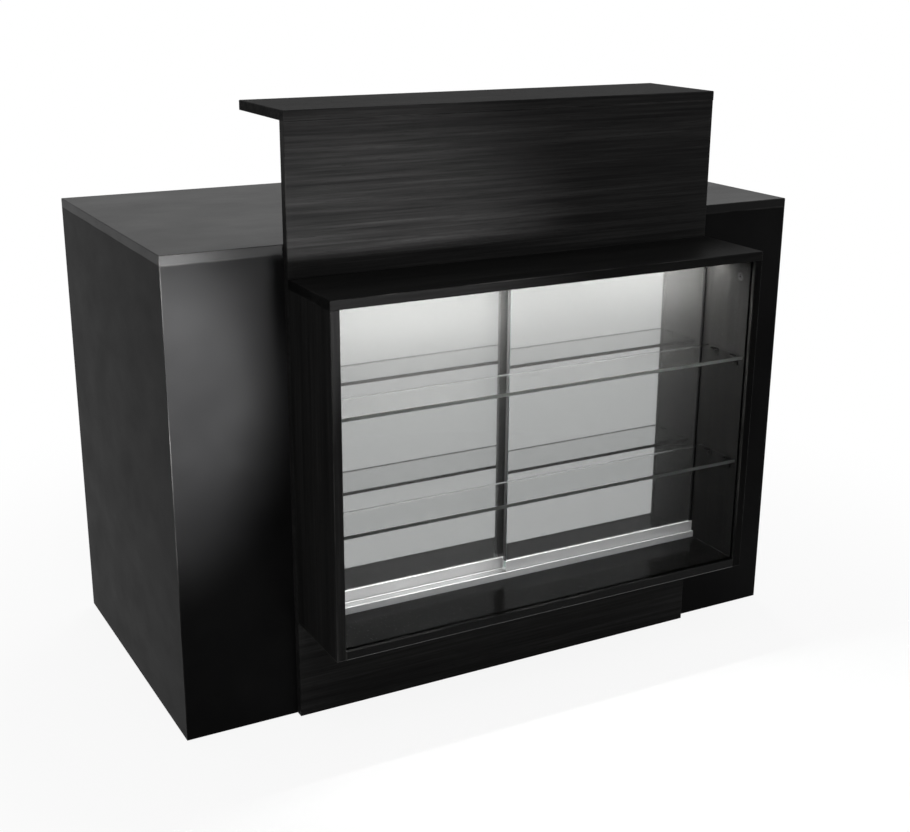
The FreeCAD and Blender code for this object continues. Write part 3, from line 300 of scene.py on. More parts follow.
class Finish(Nodes):
    """A material as it is made, with the fields that several finishes share."""

    def __init__(self, name):
        self.material = bpy.data.materials.new(name)
        self.material.use_nodes = True
        super().__init__(self.material.node_tree)
        self.place = self.node("ShaderNodeTexCoord", output="Object")

    def axis(self, vector, name):
        """One axis of a vector."""
        return self.node("ShaderNodeSeparateXYZ", None, {"Vector": vector}, name)

    def noise(self, pitch, detail=2.0, roughness=0.5, distortion=0.0):
        """Soft noise whose blotches have a pitch in metres, the same all round or along X, Y and Z."""
        sizes = (pitch, pitch, pitch) if isinstance(pitch, float) else pitch
        scale = [1 / size for size in sizes]
        scaled = self.node("ShaderNodeMapping", None, {"Vector": self.place, "Scale": scale})
        return self.node("ShaderNodeTexNoise", None, {
            "Vector": scaled, "Scale": 1.0, "Detail": detail, "Roughness": roughness,
            "Distortion": distortion})

    def blend(self, share, first, second):
        """A colour between two others."""
        return self.node("ShaderNodeMix", {"data_type": "RGBA"}, {0: share, 6: first, 7: second}, 2)

    def bump(self, height, strength, distance):
        """A normal that follows a height."""
        return self.node("ShaderNodeBump", None, {
            "Strength": strength, "Distance": distance, "Height": height})

    def on_edge(self, across):
        """1 on the narrow edges of a sheet that lies across an axis, 0 on its faces."""
        facing = self.axis(self.node("ShaderNodeTexCoord", output="Normal"), across)
        return 1 - abs(facing).between(ON_EDGE, ON_FACE)

    def rim(self, node):
        """The distance along a board's face to its nearest edge."""
        low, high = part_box(node)
        to_side = []
        for name, near, far in zip("XYZ", low, high):
            to_side.append((far - near) / 2 - abs(self.axis(self.place, name) - (far + near) / 2))
        x, y, z = to_side
        return x.lower(y).higher(x.higher(y).lower(z))

    def rubbed(self, node, width):
        """Where a board's edges are rubbed, from 0 to 1."""
        patches = self.noise(0.12, detail=3, roughness=0.6).between(0.4, 0.75)
        return (1 - self.rim(node).between(width * 0.3, width)) * patches

    def show(self, shader):
        """Puts a shader on the surface."""
        self.node("ShaderNodeOutputMaterial", None, {"Surface": shader})
        return self.material

    def surface(self, sockets):
        """Finishes the material as one layered surface."""
        return self.show(self.node("ShaderNodeBsdfPrincipled", None, sockets))


# Finishes

def black_laminate(node, look, shine, painted_light_tone):
    """Satin black laminate: faint clouds, wiped patches, a pearl texture and rubbed edges, scaled paler by
    painted light on the staff side.
    """
    finish = Finish(f"black_laminate_{node}")
    cloud = finish.noise(0.22, detail=3)
    wiped = finish.noise((0.16, 0.09, 0.06), detail=4, roughness=0.6)
    pearl = finish.noise(0.0013, detail=2)
    rubbed = finish.rubbed(node, width=0.0022)
    # Painted light: the scale factor makes the laminate's colours paler on the staff-side boards
    deep, pale = ([part * painted_light_tone for part in shade] for shade in (look.laminate_deep, look.laminate_pale))
    base = finish.blend(cloud.between(0.3, 0.7), deep, pale)
    return finish.surface({
        "Base Color": finish.blend(rubbed * WORN, base, look.wear),
        "Roughness": 0.34 + wiped * 0.14 + rubbed * 0.15,
        "Specular IOR Level": shine,
        "Normal": finish.bump(pearl + cloud * 0.2, strength=0.14, distance=0.0003),
    })


def grained_laminate(node, look, along, roughness, shine, painted_light_tone):
    """Embossed black wood grain: long streaks, broad bands and short pores that follow one axis, scaled paler
    or darker by painted light.
    """
    finish = Finish(f"grained_laminate_{node}")

    def stretched(width, reach):
        pitch = [width, width, width]
        pitch[along] = reach
        return pitch

    streaks = finish.noise(stretched(look.grain_pitch, look.grain_length),
                           detail=5, roughness=0.68, distortion=0.25)
    bands = finish.noise(stretched(look.grain_pitch * 6, look.grain_length * 3),
                         detail=2, roughness=0.5, distortion=0.4)
    pores = finish.noise(stretched(look.grain_pitch * 0.16, look.grain_length * 0.1),
                         detail=2, roughness=0.6).between(0.58, 0.7)
    rubbed = finish.rubbed(node, width=0.002)
    relief = streaks * 0.7 + bands * 0.3
    # Painted light and shade: the board's scale factor makes the grain's colours paler or darker
    deep, middle, pale = ([part * painted_light_tone for part in shade]
                          for shade in (look.grain_deep, look.grain_middle, look.grain_pale))
    stops = ((0.36, deep), (0.5, middle), (0.66, pale))
    wood = finish.node("ShaderNodeValToRGB", {"stops": stops}, {"Fac": relief})
    porous = finish.blend(pores * 0.7, wood, deep)
    return finish.surface({
        "Base Color": finish.blend(rubbed * WORN, porous, look.wear),
        "Roughness": roughness + relief * 0.16 + pores * 0.12,
        "Specular IOR Level": shine,
        "Normal": finish.bump(relief - pores * 0.4, strength=0.15, distance=0.0006),
    })


def clear_glass(name, look, tint, index, across):
    """Clear float glass with a breath of dust and ground edges, which lets the lamps through; its edges facing
    away from visitors carry painted shade.
    """
    finish = Finish(name)
    dust = finish.noise((0.12, 0.12, 0.05), detail=5, roughness=0.65).between(0.45, 0.8)
    edge = finish.on_edge(across)
    facing = finish.axis(finish.node("ShaderNodeTexCoord", output="Normal"), "Y")
    # Painted shade: edges that face away from visitors turn near black and metallic, which hides their light
    rear_shade = edge * (1 - (0 - facing).between(ON_EDGE, ON_FACE))
    ground = finish.blend(rear_shade, look.glass_edge, look.painted_shade_edge)
    pane = finish.node("ShaderNodeBsdfPrincipled", None, {
        "Base Color": finish.blend(edge, tint, ground),
        "Metallic": rear_shade,
        "Roughness": dust * 0.035 + edge * 0.45,
        "IOR": index,
        "Transmission Weight": 1.0,
    })
    lamps = finish.node("ShaderNodeLightPath", output="Is Shadow Ray")
    through = finish.node("ShaderNodeBsdfTransparent", None, {"Color": look.glass_shade})
    return finish.show(finish.node("ShaderNodeMixShader", None, {0: lamps, 1: pane, 2: through}))


def mirror(look):
    """Silvered glass: a bright face with a little haze, ground green edges and a painted back."""
    finish = Finish("mirror")
    facing = finish.axis(finish.node("ShaderNodeTexCoord", output="Normal"), "Y")
    back = facing.between(ON_EDGE, ON_FACE)
    face = (0 - facing).between(ON_EDGE, ON_FACE)
    haze = finish.noise((0.25, 0.25, 0.1), detail=4, roughness=0.6)
    brushed = finish.noise((0.2, 0.2, 0.004), detail=3, roughness=0.6)
    front = finish.blend(face, look.mirror_edge, look.silver)
    return finish.surface({
        "Base Color": finish.blend(back, front, look.mirror_paint),
        "Metallic": face * look.silver_share,
        "Coat Weight": face,
        "Coat Roughness": look.mirror_haze,
        "Roughness": face * (0.02 + haze * 0.03) + (1 - face) * (0.42 + brushed * 0.2),
        "Normal": finish.bump(brushed * back, strength=0.2, distance=0.0002),
    })


def drawn_metal(name, shade, along, roughness, metallic=1.0):
    """Extruded or rolled metal: fine die lines along one axis over soft clouds."""
    finish = Finish(name)
    pitch = [0.0006, 0.0006, 0.0006]
    pitch[along] = 0.4
    lines = finish.noise(pitch, detail=2, roughness=0.6)
    cloud = finish.noise(0.08, detail=3)
    dull = [part * 0.8 for part in shade]
    return finish.surface({
        "Base Color": finish.blend(lines * 0.6 + cloud * 0.4, dull, shade),
        "Metallic": metallic,
        "Roughness": roughness + lines * 0.1 + cloud * 0.08,
        "Normal": finish.bump(lines, strength=0.12, distance=0.0001),
    })


def plated(name, shade, roughness, slot_shade_mouth=None):
    """Plated metal: a faint spangle and small dull spots, with painted shade down a slot cut in behind its
    face.
    """
    finish = Finish(name)
    spangle = finish.node("ShaderNodeTexVoronoi", None, {
        "Vector": finish.place, "Scale": SPANGLE, "Randomness": 1.0}, "Distance")
    spots = finish.noise(0.004, detail=3, roughness=0.6).between(0.5, 0.75)
    dull = [part * 0.72 for part in shade]
    base = finish.blend(spots * 0.6 + spangle * 0.4, shade, dull)
    # Painted shade: the colour darkens down the key slot behind the plug's face
    if slot_shade_mouth is not None:
        dark = [part * 0.03 for part in shade]
        deep, shallow = slot_shade_mouth - 0.001, slot_shade_mouth - 0.0003
        base = finish.blend(finish.axis(finish.place, "Y").between(deep, shallow), dark, base)
    return finish.surface({
        "Base Color": base,
        "Metallic": 1.0,
        "Roughness": roughness + spots * 0.14 + spangle * 0.08,
    })


def powder_coat(look):
    """Black powder coat with a fine orange peel."""
    finish = Finish("bracket_paint")
    peel = finish.noise(0.0016, detail=2)
    cloud = finish.noise(0.05, detail=3)
    pale = [part * 1.5 for part in look.powder_coat]
    return finish.surface({
        "Base Color": finish.blend(cloud, look.powder_coat, pale),
        "Roughness": 0.42 + cloud * 0.12,
        "Normal": finish.bump(peel, strength=0.3, distance=0.0003),
    })


def moulded(name, shade, roughness, texture, shine=0.5):
    """Moulded plastic: a spark-eroded texture and slight clouds."""
    finish = Finish(name)
    spark = finish.noise(0.0007, detail=2)
    cloud = finish.noise(0.03, detail=3)
    pale = [min(1, part * 1.25) for part in shade]
    return finish.surface({
        "Base Color": finish.blend(cloud, shade, pale),
        "Roughness": roughness + cloud * 0.1,
        "Specular IOR Level": shine,
        "Normal": finish.bump(spark, strength=texture, distance=0.0002),
    })


def opal(look):
    """Opal diffuser, lit from behind and brightest along the side next to the mirrors."""
    finish = Finish("opal")
    ribs = finish.noise((0.5, 0.0012, 0.5), detail=2)
    finish.material.cycles.emission_sampling = "FRONT"
    low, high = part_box("light_diffuser")
    next_to_mirrors = finish.axis(finish.place, "Y").between(low.y, high.y)
    dim = [part * 0.2 for part in look.light]
    return finish.surface({
        "Base Color": finish.blend(ribs, (0.82, 0.82, 0.8), (0.9, 0.9, 0.89)),
        "Roughness": 0.42 + ribs * 0.15,
        "Emission Color": finish.blend(next_to_mirrors, dim, look.light),
        "Emission Strength": look.light_strength,
    })


def light_board():
    """White flexible strip with copper tracks under its lacquer."""
    finish = Finish("light_board")
    tracks = finish.noise((0.05, 0.0025, 0.05), detail=1).between(0.48, 0.54)
    grain = finish.noise(0.001, detail=2)
    return finish.surface({
        "Base Color": finish.blend(tracks * 0.5, (0.86, 0.86, 0.82), (0.72, 0.62, 0.45)),
        "Roughness": 0.4 + grain * 0.15,
    })


def light_chip():
    """Yellow phosphor of a light chip."""
    finish = Finish("light_chip")
    grain = finish.noise(0.0006, detail=2)
    return finish.surface({
        "Base Color": finish.blend(grain, (0.86, 0.68, 0.2), (0.95, 0.82, 0.38)),
        "Roughness": 0.3 + grain * 0.2,
    })


def pale_hardboard(look):
    """Pale faced hardboard with a linen texture."""
    finish = Finish("drawer_base")
    linen = finish.noise((0.012, 0.0011, 0.01), detail=2) + finish.noise((0.0011, 0.012, 0.01), detail=2)
    cloud = finish.noise(0.12, detail=3)
    deep = [part * 0.86 for part in look.drawer_base]
    return finish.surface({
        "Base Color": finish.blend(cloud * 0.5 + linen * 0.25, deep, look.drawer_base),
        "Roughness": 0.5 + cloud * 0.12,
        "Normal": finish.bump(linen, strength=0.2, distance=0.0002),
    })


def nodes_with(slot):
    """Names of the frame's nodes that take a slot of the record."""
    return [part["node"] for part in frame["record"]["subparts"] if part["material_slot"] == slot]


def dress(node, material):
    """Gives a node of the frame its finish."""
    piece = frame["nodes"][node]
    for place in piece.material_slots:
        place.material = material


def dress_all(slot, material):
    """Gives every node of a slot the same finish."""
    for node in nodes_with(slot):
        dress(node, material)


# Pieces that the frame lacks, with Geometry Nodes for what repeats

class Recipe(Nodes):
    """A Geometry Nodes tree as it is made, with named inputs."""

    def __init__(self, name, inputs):
        tree = bpy.data.node_groups.new(name, "GeometryNodeTree")
        super().__init__(tree)
        tree.interface.new_socket("Geometry", in_out="INPUT", socket_type="NodeSocketGeometry")
        self.identifiers = {}
        for label, kind in inputs.items():
            socket = tree.interface.new_socket(label, in_out="INPUT", socket_type=kind)
            self.identifiers[label] = socket.identifier
        tree.interface.new_socket("Geometry", in_out="OUTPUT", socket_type="NodeSocketGeometry")
        self.entry = tree.nodes.new("NodeGroupInput")

    def given(self, label):
        """An input of the tree."""
        return Value(self, self.pick(self.entry.outputs, label))

    def vector(self, x, y, z):
        """A vector from three values."""
        return self.node("ShaderNodeCombineXYZ", None, {"X": x, "Y": y, "Z": z})

    def finish(self, instances):
        """Makes the instances real, gives them their material and ends the tree."""
        real = self.node("GeometryNodeRealizeInstances", None, {"Geometry": instances})
        dressed = self.node("GeometryNodeSetMaterial", None, {
            "Geometry": real, "Material": self.given("Material")})
        self.node("NodeGroupOutput", None, {"Geometry": dressed})

    def made_on(self, piece, values):
        """The plain mesh that the tree makes of a piece, with the modifier taken off again."""
        modifier = piece.modifiers.new(self.tree.name, "NODES")
        modifier.node_group = self.tree
        for label, value in values.items():
            modifier[self.identifiers[label]] = value
        depsgraph = bpy.context.evaluated_depsgraph_get()
        mesh = bpy.data.meshes.new_from_object(piece.evaluated_get(depsgraph), depsgraph=depsgraph)
        piece.modifiers.clear()
        spots = piece.data
        piece.data = mesh
        bpy.data.meshes.remove(spots)
        if not len(mesh.polygons):
            raise RuntimeError(f"{piece.name} came out empty")
        return piece


def screw_recipe():
    """Pan heads with a cross, one on each spot, facing the way that the spot faces."""
    recipe = Recipe("Screw heads", {
        "Rise": "NodeSocketFloat", "Crown": "NodeSocketFloat", "Cross": "NodeSocketFloat",
        "Arm": "NodeSocketFloat", "Material": "NodeSocketMaterial"})
    rise, cross, arm = recipe.given("Rise"), recipe.given("Cross"), recipe.given("Arm")
    foot = recipe.node("GeometryNodeMeshCylinder", None, {
        "Vertices": HEAD_CORNERS, "Radius": 0.5, "Depth": rise * 0.5}, "Mesh")
    foot = recipe.node("GeometryNodeTransform", None, {
        "Geometry": foot, "Translation": recipe.vector(0.0, 0.0, rise * 0.25)})
    crown = recipe.node("GeometryNodeMeshCone", None, {
        "Vertices": HEAD_CORNERS, "Radius Top": recipe.given("Crown") * 0.5, "Radius Bottom": 0.5,
        "Depth": rise * 0.5}, "Mesh")
    crown = recipe.node("GeometryNodeTransform", None, {
        "Geometry": crown, "Translation": recipe.vector(0.0, 0.0, rise * 0.5)})
    blank = recipe.node("GeometryNodeMeshBoolean", {"operation": "UNION", "solver": "EXACT"}, {
        "Mesh": [foot, crown]})
    arms = []
    for size in ((cross, arm), (arm, cross)):
        bar = recipe.node("GeometryNodeMeshCube", None, {"Size": recipe.vector(*size, rise)}, "Mesh")
        arms.append(recipe.node("GeometryNodeTransform", None, {
            "Geometry": bar, "Translation": recipe.vector(0.0, 0.0, rise)}))
    head = recipe.node("GeometryNodeMeshBoolean", {"operation": "DIFFERENCE", "solver": "EXACT"}, {
        "Mesh 1": blank, "Mesh 2": arms})
    facing, width = (
        recipe.node("GeometryNodeInputNamedAttribute", {"data_type": kind}, {"Name": name}, "Attribute")
        for name, kind in (("facing", "FLOAT_VECTOR"), ("width", "FLOAT")))
    turn = recipe.node("FunctionNodeAlignRotationToVector", {"axis": "Z"}, {"Vector": facing})
    recipe.finish(recipe.node("GeometryNodeInstanceOnPoints", None, {
        "Points": recipe.given("Geometry"), "Instance": head, "Rotation": turn, "Scale": width}))
    return recipe


def chip_recipe():
    """Light chips at even steps along a line, each with a bevelled window."""
    recipe = Recipe("Light chips", {
        "Count": "NodeSocketInt", "Side": "NodeSocketFloat", "Rise": "NodeSocketFloat",
        "Material": "NodeSocketMaterial"})
    side, rise = recipe.given("Side"), recipe.given("Rise")
    line = recipe.node("GeometryNodeMeshToCurve", None, {"Mesh": recipe.given("Geometry")})
    steps = recipe.node("GeometryNodeCurveToPoints", None, {
        "Curve": line, "Count": recipe.given("Count")}, "Points")
    case = recipe.node("GeometryNodeMeshCube", None, {"Size": recipe.vector(side, side, rise * 0.6)}, "Mesh")
    window = recipe.node("GeometryNodeMeshCone", None, {
        "Vertices": WINDOW_CORNERS, "Radius Top": side * 0.3, "Radius Bottom": side * 0.42,
        "Depth": rise * 0.4}, "Mesh")
    window = recipe.node("GeometryNodeTransform", None, {
        "Geometry": window, "Translation": recipe.vector(0.0, 0.0, rise * -0.3),
        "Rotation": (math.pi, 0, 0)})
    chip = recipe.node("GeometryNodeJoinGeometry", None, {"Geometry": [case, window]})
    recipe.finish(recipe.node("GeometryNodeInstanceOnPoints", None, {"Points": steps, "Instance": chip}))
    return recipe


def new_piece(name, points, edges=()):
    """A piece whose mesh is only points and edges so far."""
    mesh = bpy.data.meshes.new(name)
    mesh.from_pydata(points, edges, [])
    piece = bpy.data.objects.new(name, mesh)
    bpy.context.scene.collection.objects.link(piece)
    return piece


def spots_piece(name, spots):
    """A piece of points that know which way they face and how wide their screw is."""
    piece = new_piece(name, [place for place, _, _ in spots])
    attributes = piece.data.attributes
    attributes.new("facing", "FLOAT_VECTOR", "POINT")
    attributes.new("width", "FLOAT", "POINT")
    for number, (_, way, size) in enumerate(spots):
        attributes["facing"].data[number].vector = way
        attributes["width"].data[number].value = size
    return piece


def rounded_trim(name, start, width, rise, top):
    """A trim with a rounded front and a flat back, from its lower left back corner up to a level."""
    sharp = math.radians(40)
    outline = []
    for step in range(TRIM_STEPS + 1):
        turn = math.pi * step / TRIM_STEPS
        across = width * (1 - math.cos(turn)) / 2
        outline.append((start[X] + across, start[Y] - rise * math.sin(turn)))
    count = len(outline)
    points = [(*place, level) for level in (start[Z], top) for place in outline]
    faces = [tuple(reversed(range(count))), tuple(range(count, 2 * count))]
    for corner in range(count):
        following = (corner + 1) % count
        faces.append((corner, following, count + following, count + corner))
    piece = new_piece(name, [])
    piece.data.from_pydata(points, [], faces)
    piece.data.shade_smooth()
    piece.data.set_sharp_from_angle(angle=sharp)
    return piece


# Where the screws are

def bracket_spots(size):
    """Two in each leg of a ledge bracket, one each side of its gusset."""
    low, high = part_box("ledge_brackets")
    width, steel, aside, from_tip = 0.03, 0.003, 0.009, 0.03
    middle = (low.x + high.x) / 2
    spacing = (high.x - low.x - width) / 2
    for across in (middle - spacing, middle, middle + spacing):
        for way in (-aside, aside):
            yield (across + way, low.y + steel, low.z + from_tip), TO_STAFF, size
            yield (across + way, high.y - from_tip, high.z - steel), DOWN, size


def showcase_spots(size):
    """A row each through front panel and fascia into the showcase's top and deck."""
    staff_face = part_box("front_panel")[1].y
    inner, outer = 0.12, 0.35
    for board in ("showcase_top", "showcase_deck"):
        low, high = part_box(board)
        for across in (-outer, -inner, inner, outer):
            yield (across, staff_face, (low.z + high.z) / 2), TO_STAFF, size


def clip_spots(node, walls, undersides, size):
    """One in the upright leg of each shelf clip."""
    steel, drop, inset = 0.0015, 0.0085, 0.006
    low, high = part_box(node)
    for wall, way in walls:
        for along in (low.y + inset, high.y - inset):
            for underside in undersides:
                yield (wall + way[X] * steel, along, underside - drop), way, size


def driver_spots(size):
    """One in each ear of the light driver."""
    low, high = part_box("light_driver")
    ear, thick = 0.006, 0.003
    for along in (low.y + ear, high.y - ear):
        yield ((low.x + high.x) / 2, along, high.z - thick), DOWN, size


def keeper_spots(size):
    """Two in the foot of the lock's keeper."""
    low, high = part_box("lock_keeper")
    aside, steel, setback = 0.01, 0.002, 0.0065
    for across in (-aside, aside):
        yield (across, low.y + setback, high.z - steel), DOWN, size


def runner_spots(size):
    """Three in the web of each runner."""
    steel, inset = 0.0015, 0.04
    for node, way in (("left_runner", RIGHT), ("right_runner", LEFT)):
        low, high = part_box(node)
        web = low.x + steel if way == RIGHT else high.x - steel
        for along in (low.y + inset, (low.y + high.y) / 2, high.y - inset):
            yield (web, along, (low.z + high.z) / 2), way, size


def slide_spots(size):
    """Three in the web of each slide."""
    low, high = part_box("drawer_slides")
    reach, inset = 0.009, 0.07
    for web, way in ((low.x + reach, LEFT), (high.x - reach, RIGHT)):
        for along in (low.y + inset, (low.y + high.y) / 2 + inset / 2, high.y - inset):
            yield (web, along, (low.z + high.z) / 2), way, size


def handle_spots(size):
    """Two behind the drawer front that hold the handle."""
    low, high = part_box("drawer_handle")
    inner_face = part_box("drawer_front")[0].y
    half_centres = 0.064
    for across in (-half_centres, half_centres):
        yield (across, inner_face, (low.z + high.z) / 2), TO_VISITOR, size


# Operators

class DESK_OT_carcass(bpy.types.Operator):
    """Finish the satin black boards of carcass and drawer."""

    bl_idname = "desk.carcass"
    bl_label = "Carcass and drawer boards"

    def execute(self, context):
        look = context.scene.desk_finishes
        for node in nodes_with("black_laminate"):
            dress(node, black_laminate(node, look, *SATIN_LOOKS.get(node, STAFF_SATIN_PAINTED_LIGHT)))
        dress_all("drawer_base", pale_hardboard(look))
        return {"FINISHED"}


class DESK_OT_grained_boards(bpy.types.Operator):
    """Finish the wood-grain boards of fascia, ledge and showcase."""

    bl_idname = "desk.grained_boards"
    bl_label = "Fascia, ledge and showcase boards"

    def execute(self, context):
        look = context.scene.desk_finishes
        for node in nodes_with("grained_laminate"):
            along = Z if node.endswith("_side") else X
            dress(node, grained_laminate(node, look, along, *BOARD_LOOKS[node]))
        return {"FINISHED"}


class DESK_OT_glazing(bpy.types.Operator):
    """Finish the front glass, the glass shelves and the mirrors."""

    bl_idname = "desk.glazing"
    bl_label = "Glass and mirrors"

    def execute(self, context):
        look = context.scene.desk_finishes
        dress_all("clear_glass", clear_glass("clear_glass", look, look.shelf_glass, look.glass_index, "Z"))
        dress("front_glass", clear_glass("low_glare_glass", look, look.glass, look.low_glare_index, "Y"))
        dress_all("mirror", mirror(look))
        return {"FINISHED"}


class DESK_OT_metalwork(bpy.types.Operator):
    """Finish the tracks, rails, pulls, brackets and fittings."""

    bl_idname = "desk.metalwork"
    bl_label = "Metalwork"

    def execute(self, context):
        look = context.scene.desk_finishes
        bright = drawn_metal("bright_aluminium", look.aluminium, X, roughness=0.5, metallic=0.85)
        dark = drawn_metal("dark_aluminium", look.dark_aluminium, Z, roughness=0.36, metallic=0.6)
        dress_all("bright_aluminium", bright)
        dress_all("dark_aluminium", dark)
        dress_all("steel", drawn_metal("steel", look.steel, X, roughness=0.24))
        dress_all("zinc", plated("zinc", look.zinc, roughness=0.28))
        burnished = plated("burnished_zinc", look.burnished, roughness=0.36)
        dress("showcase_cams", burnished)
        dress("glass_shelf_clips", burnished)
        dress_all("lock_chrome", plated("lock_chrome", look.chrome, roughness=0.08))
        dress("lock_plug", plated("plug_nickel", look.nickel, roughness=0.16, slot_shade_mouth=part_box("lock_plug")[1].y))
        dress_all("bracket_paint", powder_coat(look))
        return {"FINISHED"}


class DESK_OT_plastics(bpy.types.Operator):
    """Finish the corner blocks, grommet, switch, driver, skids and glides."""

    bl_idname = "desk.plastics"
    bl_label = "Plastic pieces"

    def execute(self, context):
        look = context.scene.desk_finishes
        dress_all("black_plastic", moulded("black_plastic", look.plastic, roughness=0.44, texture=0.35))
        dress_all("gloss_black", moulded("gloss_black", look.rocker, roughness=0.16, texture=0.05))
        dress_all("nylon", moulded("nylon", look.nylon, roughness=0.4, texture=0.15))
        dress_all("glide_plastic", moulded("glide_plastic", look.glide, roughness=0.46, texture=0.2))
        return {"FINISHED"}


class DESK_OT_mirror_trim(bpy.types.Operator):
    """Lay a near-black trim down the outer edge of each mirror, which also stands in for the shaded gap there
    as painted shade.
    """

    bl_idname = "desk.mirror_trim"
    bl_label = "Mirror trim"

    def execute(self, context):
        sizes = context.scene.desk_fixings
        rubber_and_gap_shade = context.scene.desk_finishes.rubber_and_gap_shade
        material = moulded("mirror_trim", rubber_and_gap_shade, roughness=0.3, texture=0.05, shine=0.06)
        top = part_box("top_track")[0].z - sizes.trim_rise
        for side in ("left", "right"):
            low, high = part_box(f"{side}_mirror")
            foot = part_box(f"{side}_mirror_rail")[1].z
            edge = low.x if side == "left" else high.x - sizes.trim_width
            trim = rounded_trim(f"{side}_mirror_trim", (edge, low.y, foot), sizes.trim_width,
                                sizes.trim_rise, top)
            trim.data.materials.append(material)
            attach(trim, f"{side}_mirror_door")
        return {"FINISHED"}


class DESK_OT_light(bpy.types.Operator):
    """Finish the showcase light and set the chips on its strip."""

    bl_idname = "desk.light"
    bl_label = "Showcase light"

    def execute(self, context):
        look = context.scene.desk_finishes
        sizes = context.scene.desk_fixings
        dress_all("opal", opal(look))
        dress_all("light_board", light_board())
        low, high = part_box("light_strip")
        middle, level, inset = (low.y + high.y) / 2, low.z - sizes.chip_rise * 0.3, sizes.chip
        ends = [(low.x + inset, middle, level), (high.x - inset, middle, level)]
        chips = chip_recipe().made_on(new_piece("light_chips", ends, [(0, 1)]), {
            "Count": sizes.chip_count, "Side": sizes.chip, "Rise": sizes.chip_rise, "Material": light_chip()})
        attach(chips, "desk")
        return {"FINISHED"}


class DESK_OT_screws(bpy.types.Operator):
    """Set the screw heads on brackets, clips, runners, slides, driver, keeper, showcase and handle."""

    bl_idname = "desk.screws"
    bl_label = "Screws"

    def execute(self, context):
        look = context.scene.desk_finishes
        sizes = context.scene.desk_fixings
        large, small = sizes.head, sizes.small_head
        bay_low, bay_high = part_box("glass_shelf_clips")
        tower_low, tower_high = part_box("tower_shelf_clips")
        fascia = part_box("fascia")[1].x
        tower_walls = ((tower_low.x, RIGHT), (-fascia, LEFT), (fascia, RIGHT), (tower_high.x, LEFT))
        tower_shelves = [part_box(f"left_tower_{level}_shelf")[0].z for level in ("lower", "upper")]
        desk_spots = [
            *bracket_spots(large),
            *showcase_spots(large),
            *clip_spots("tower_shelf_clips", tower_walls, tower_shelves, small),
            *driver_spots(small),
            *keeper_spots(small),
            *runner_spots(small),
        ]
        drawer_spots = [*slide_spots(small), *handle_spots(large)]
        bay_walls = ((bay_low.x, RIGHT), (bay_high.x, LEFT))
        shelves = [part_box(shelf)[0].z for shelf in ("lower_glass_shelf", "upper_glass_shelf")]
        showcase_clip_spots = [*clip_spots("glass_shelf_clips", bay_walls, shelves, small)]
        recipe = screw_recipe()
        values = {"Rise": sizes.head_rise, "Crown": sizes.head_crown, "Cross": sizes.cross,
                  "Arm": sizes.cross_arm}
        bright = plated("screw_zinc", look.zinc, roughness=0.24)
        burnished = plated("burnished_screw", look.burnished, roughness=0.36)
        for name, body, spots, metal in (
            ("desk_screws", "desk", desk_spots, bright),
            ("drawer_screws", "drawer", drawer_spots, bright),
            ("showcase_clip_screws", "desk", showcase_clip_spots, burnished),
        ):
            screws = recipe.made_on(spots_piece(name, spots), {**values, "Material": metal})
            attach(screws, body)
        return {"FINISHED"}


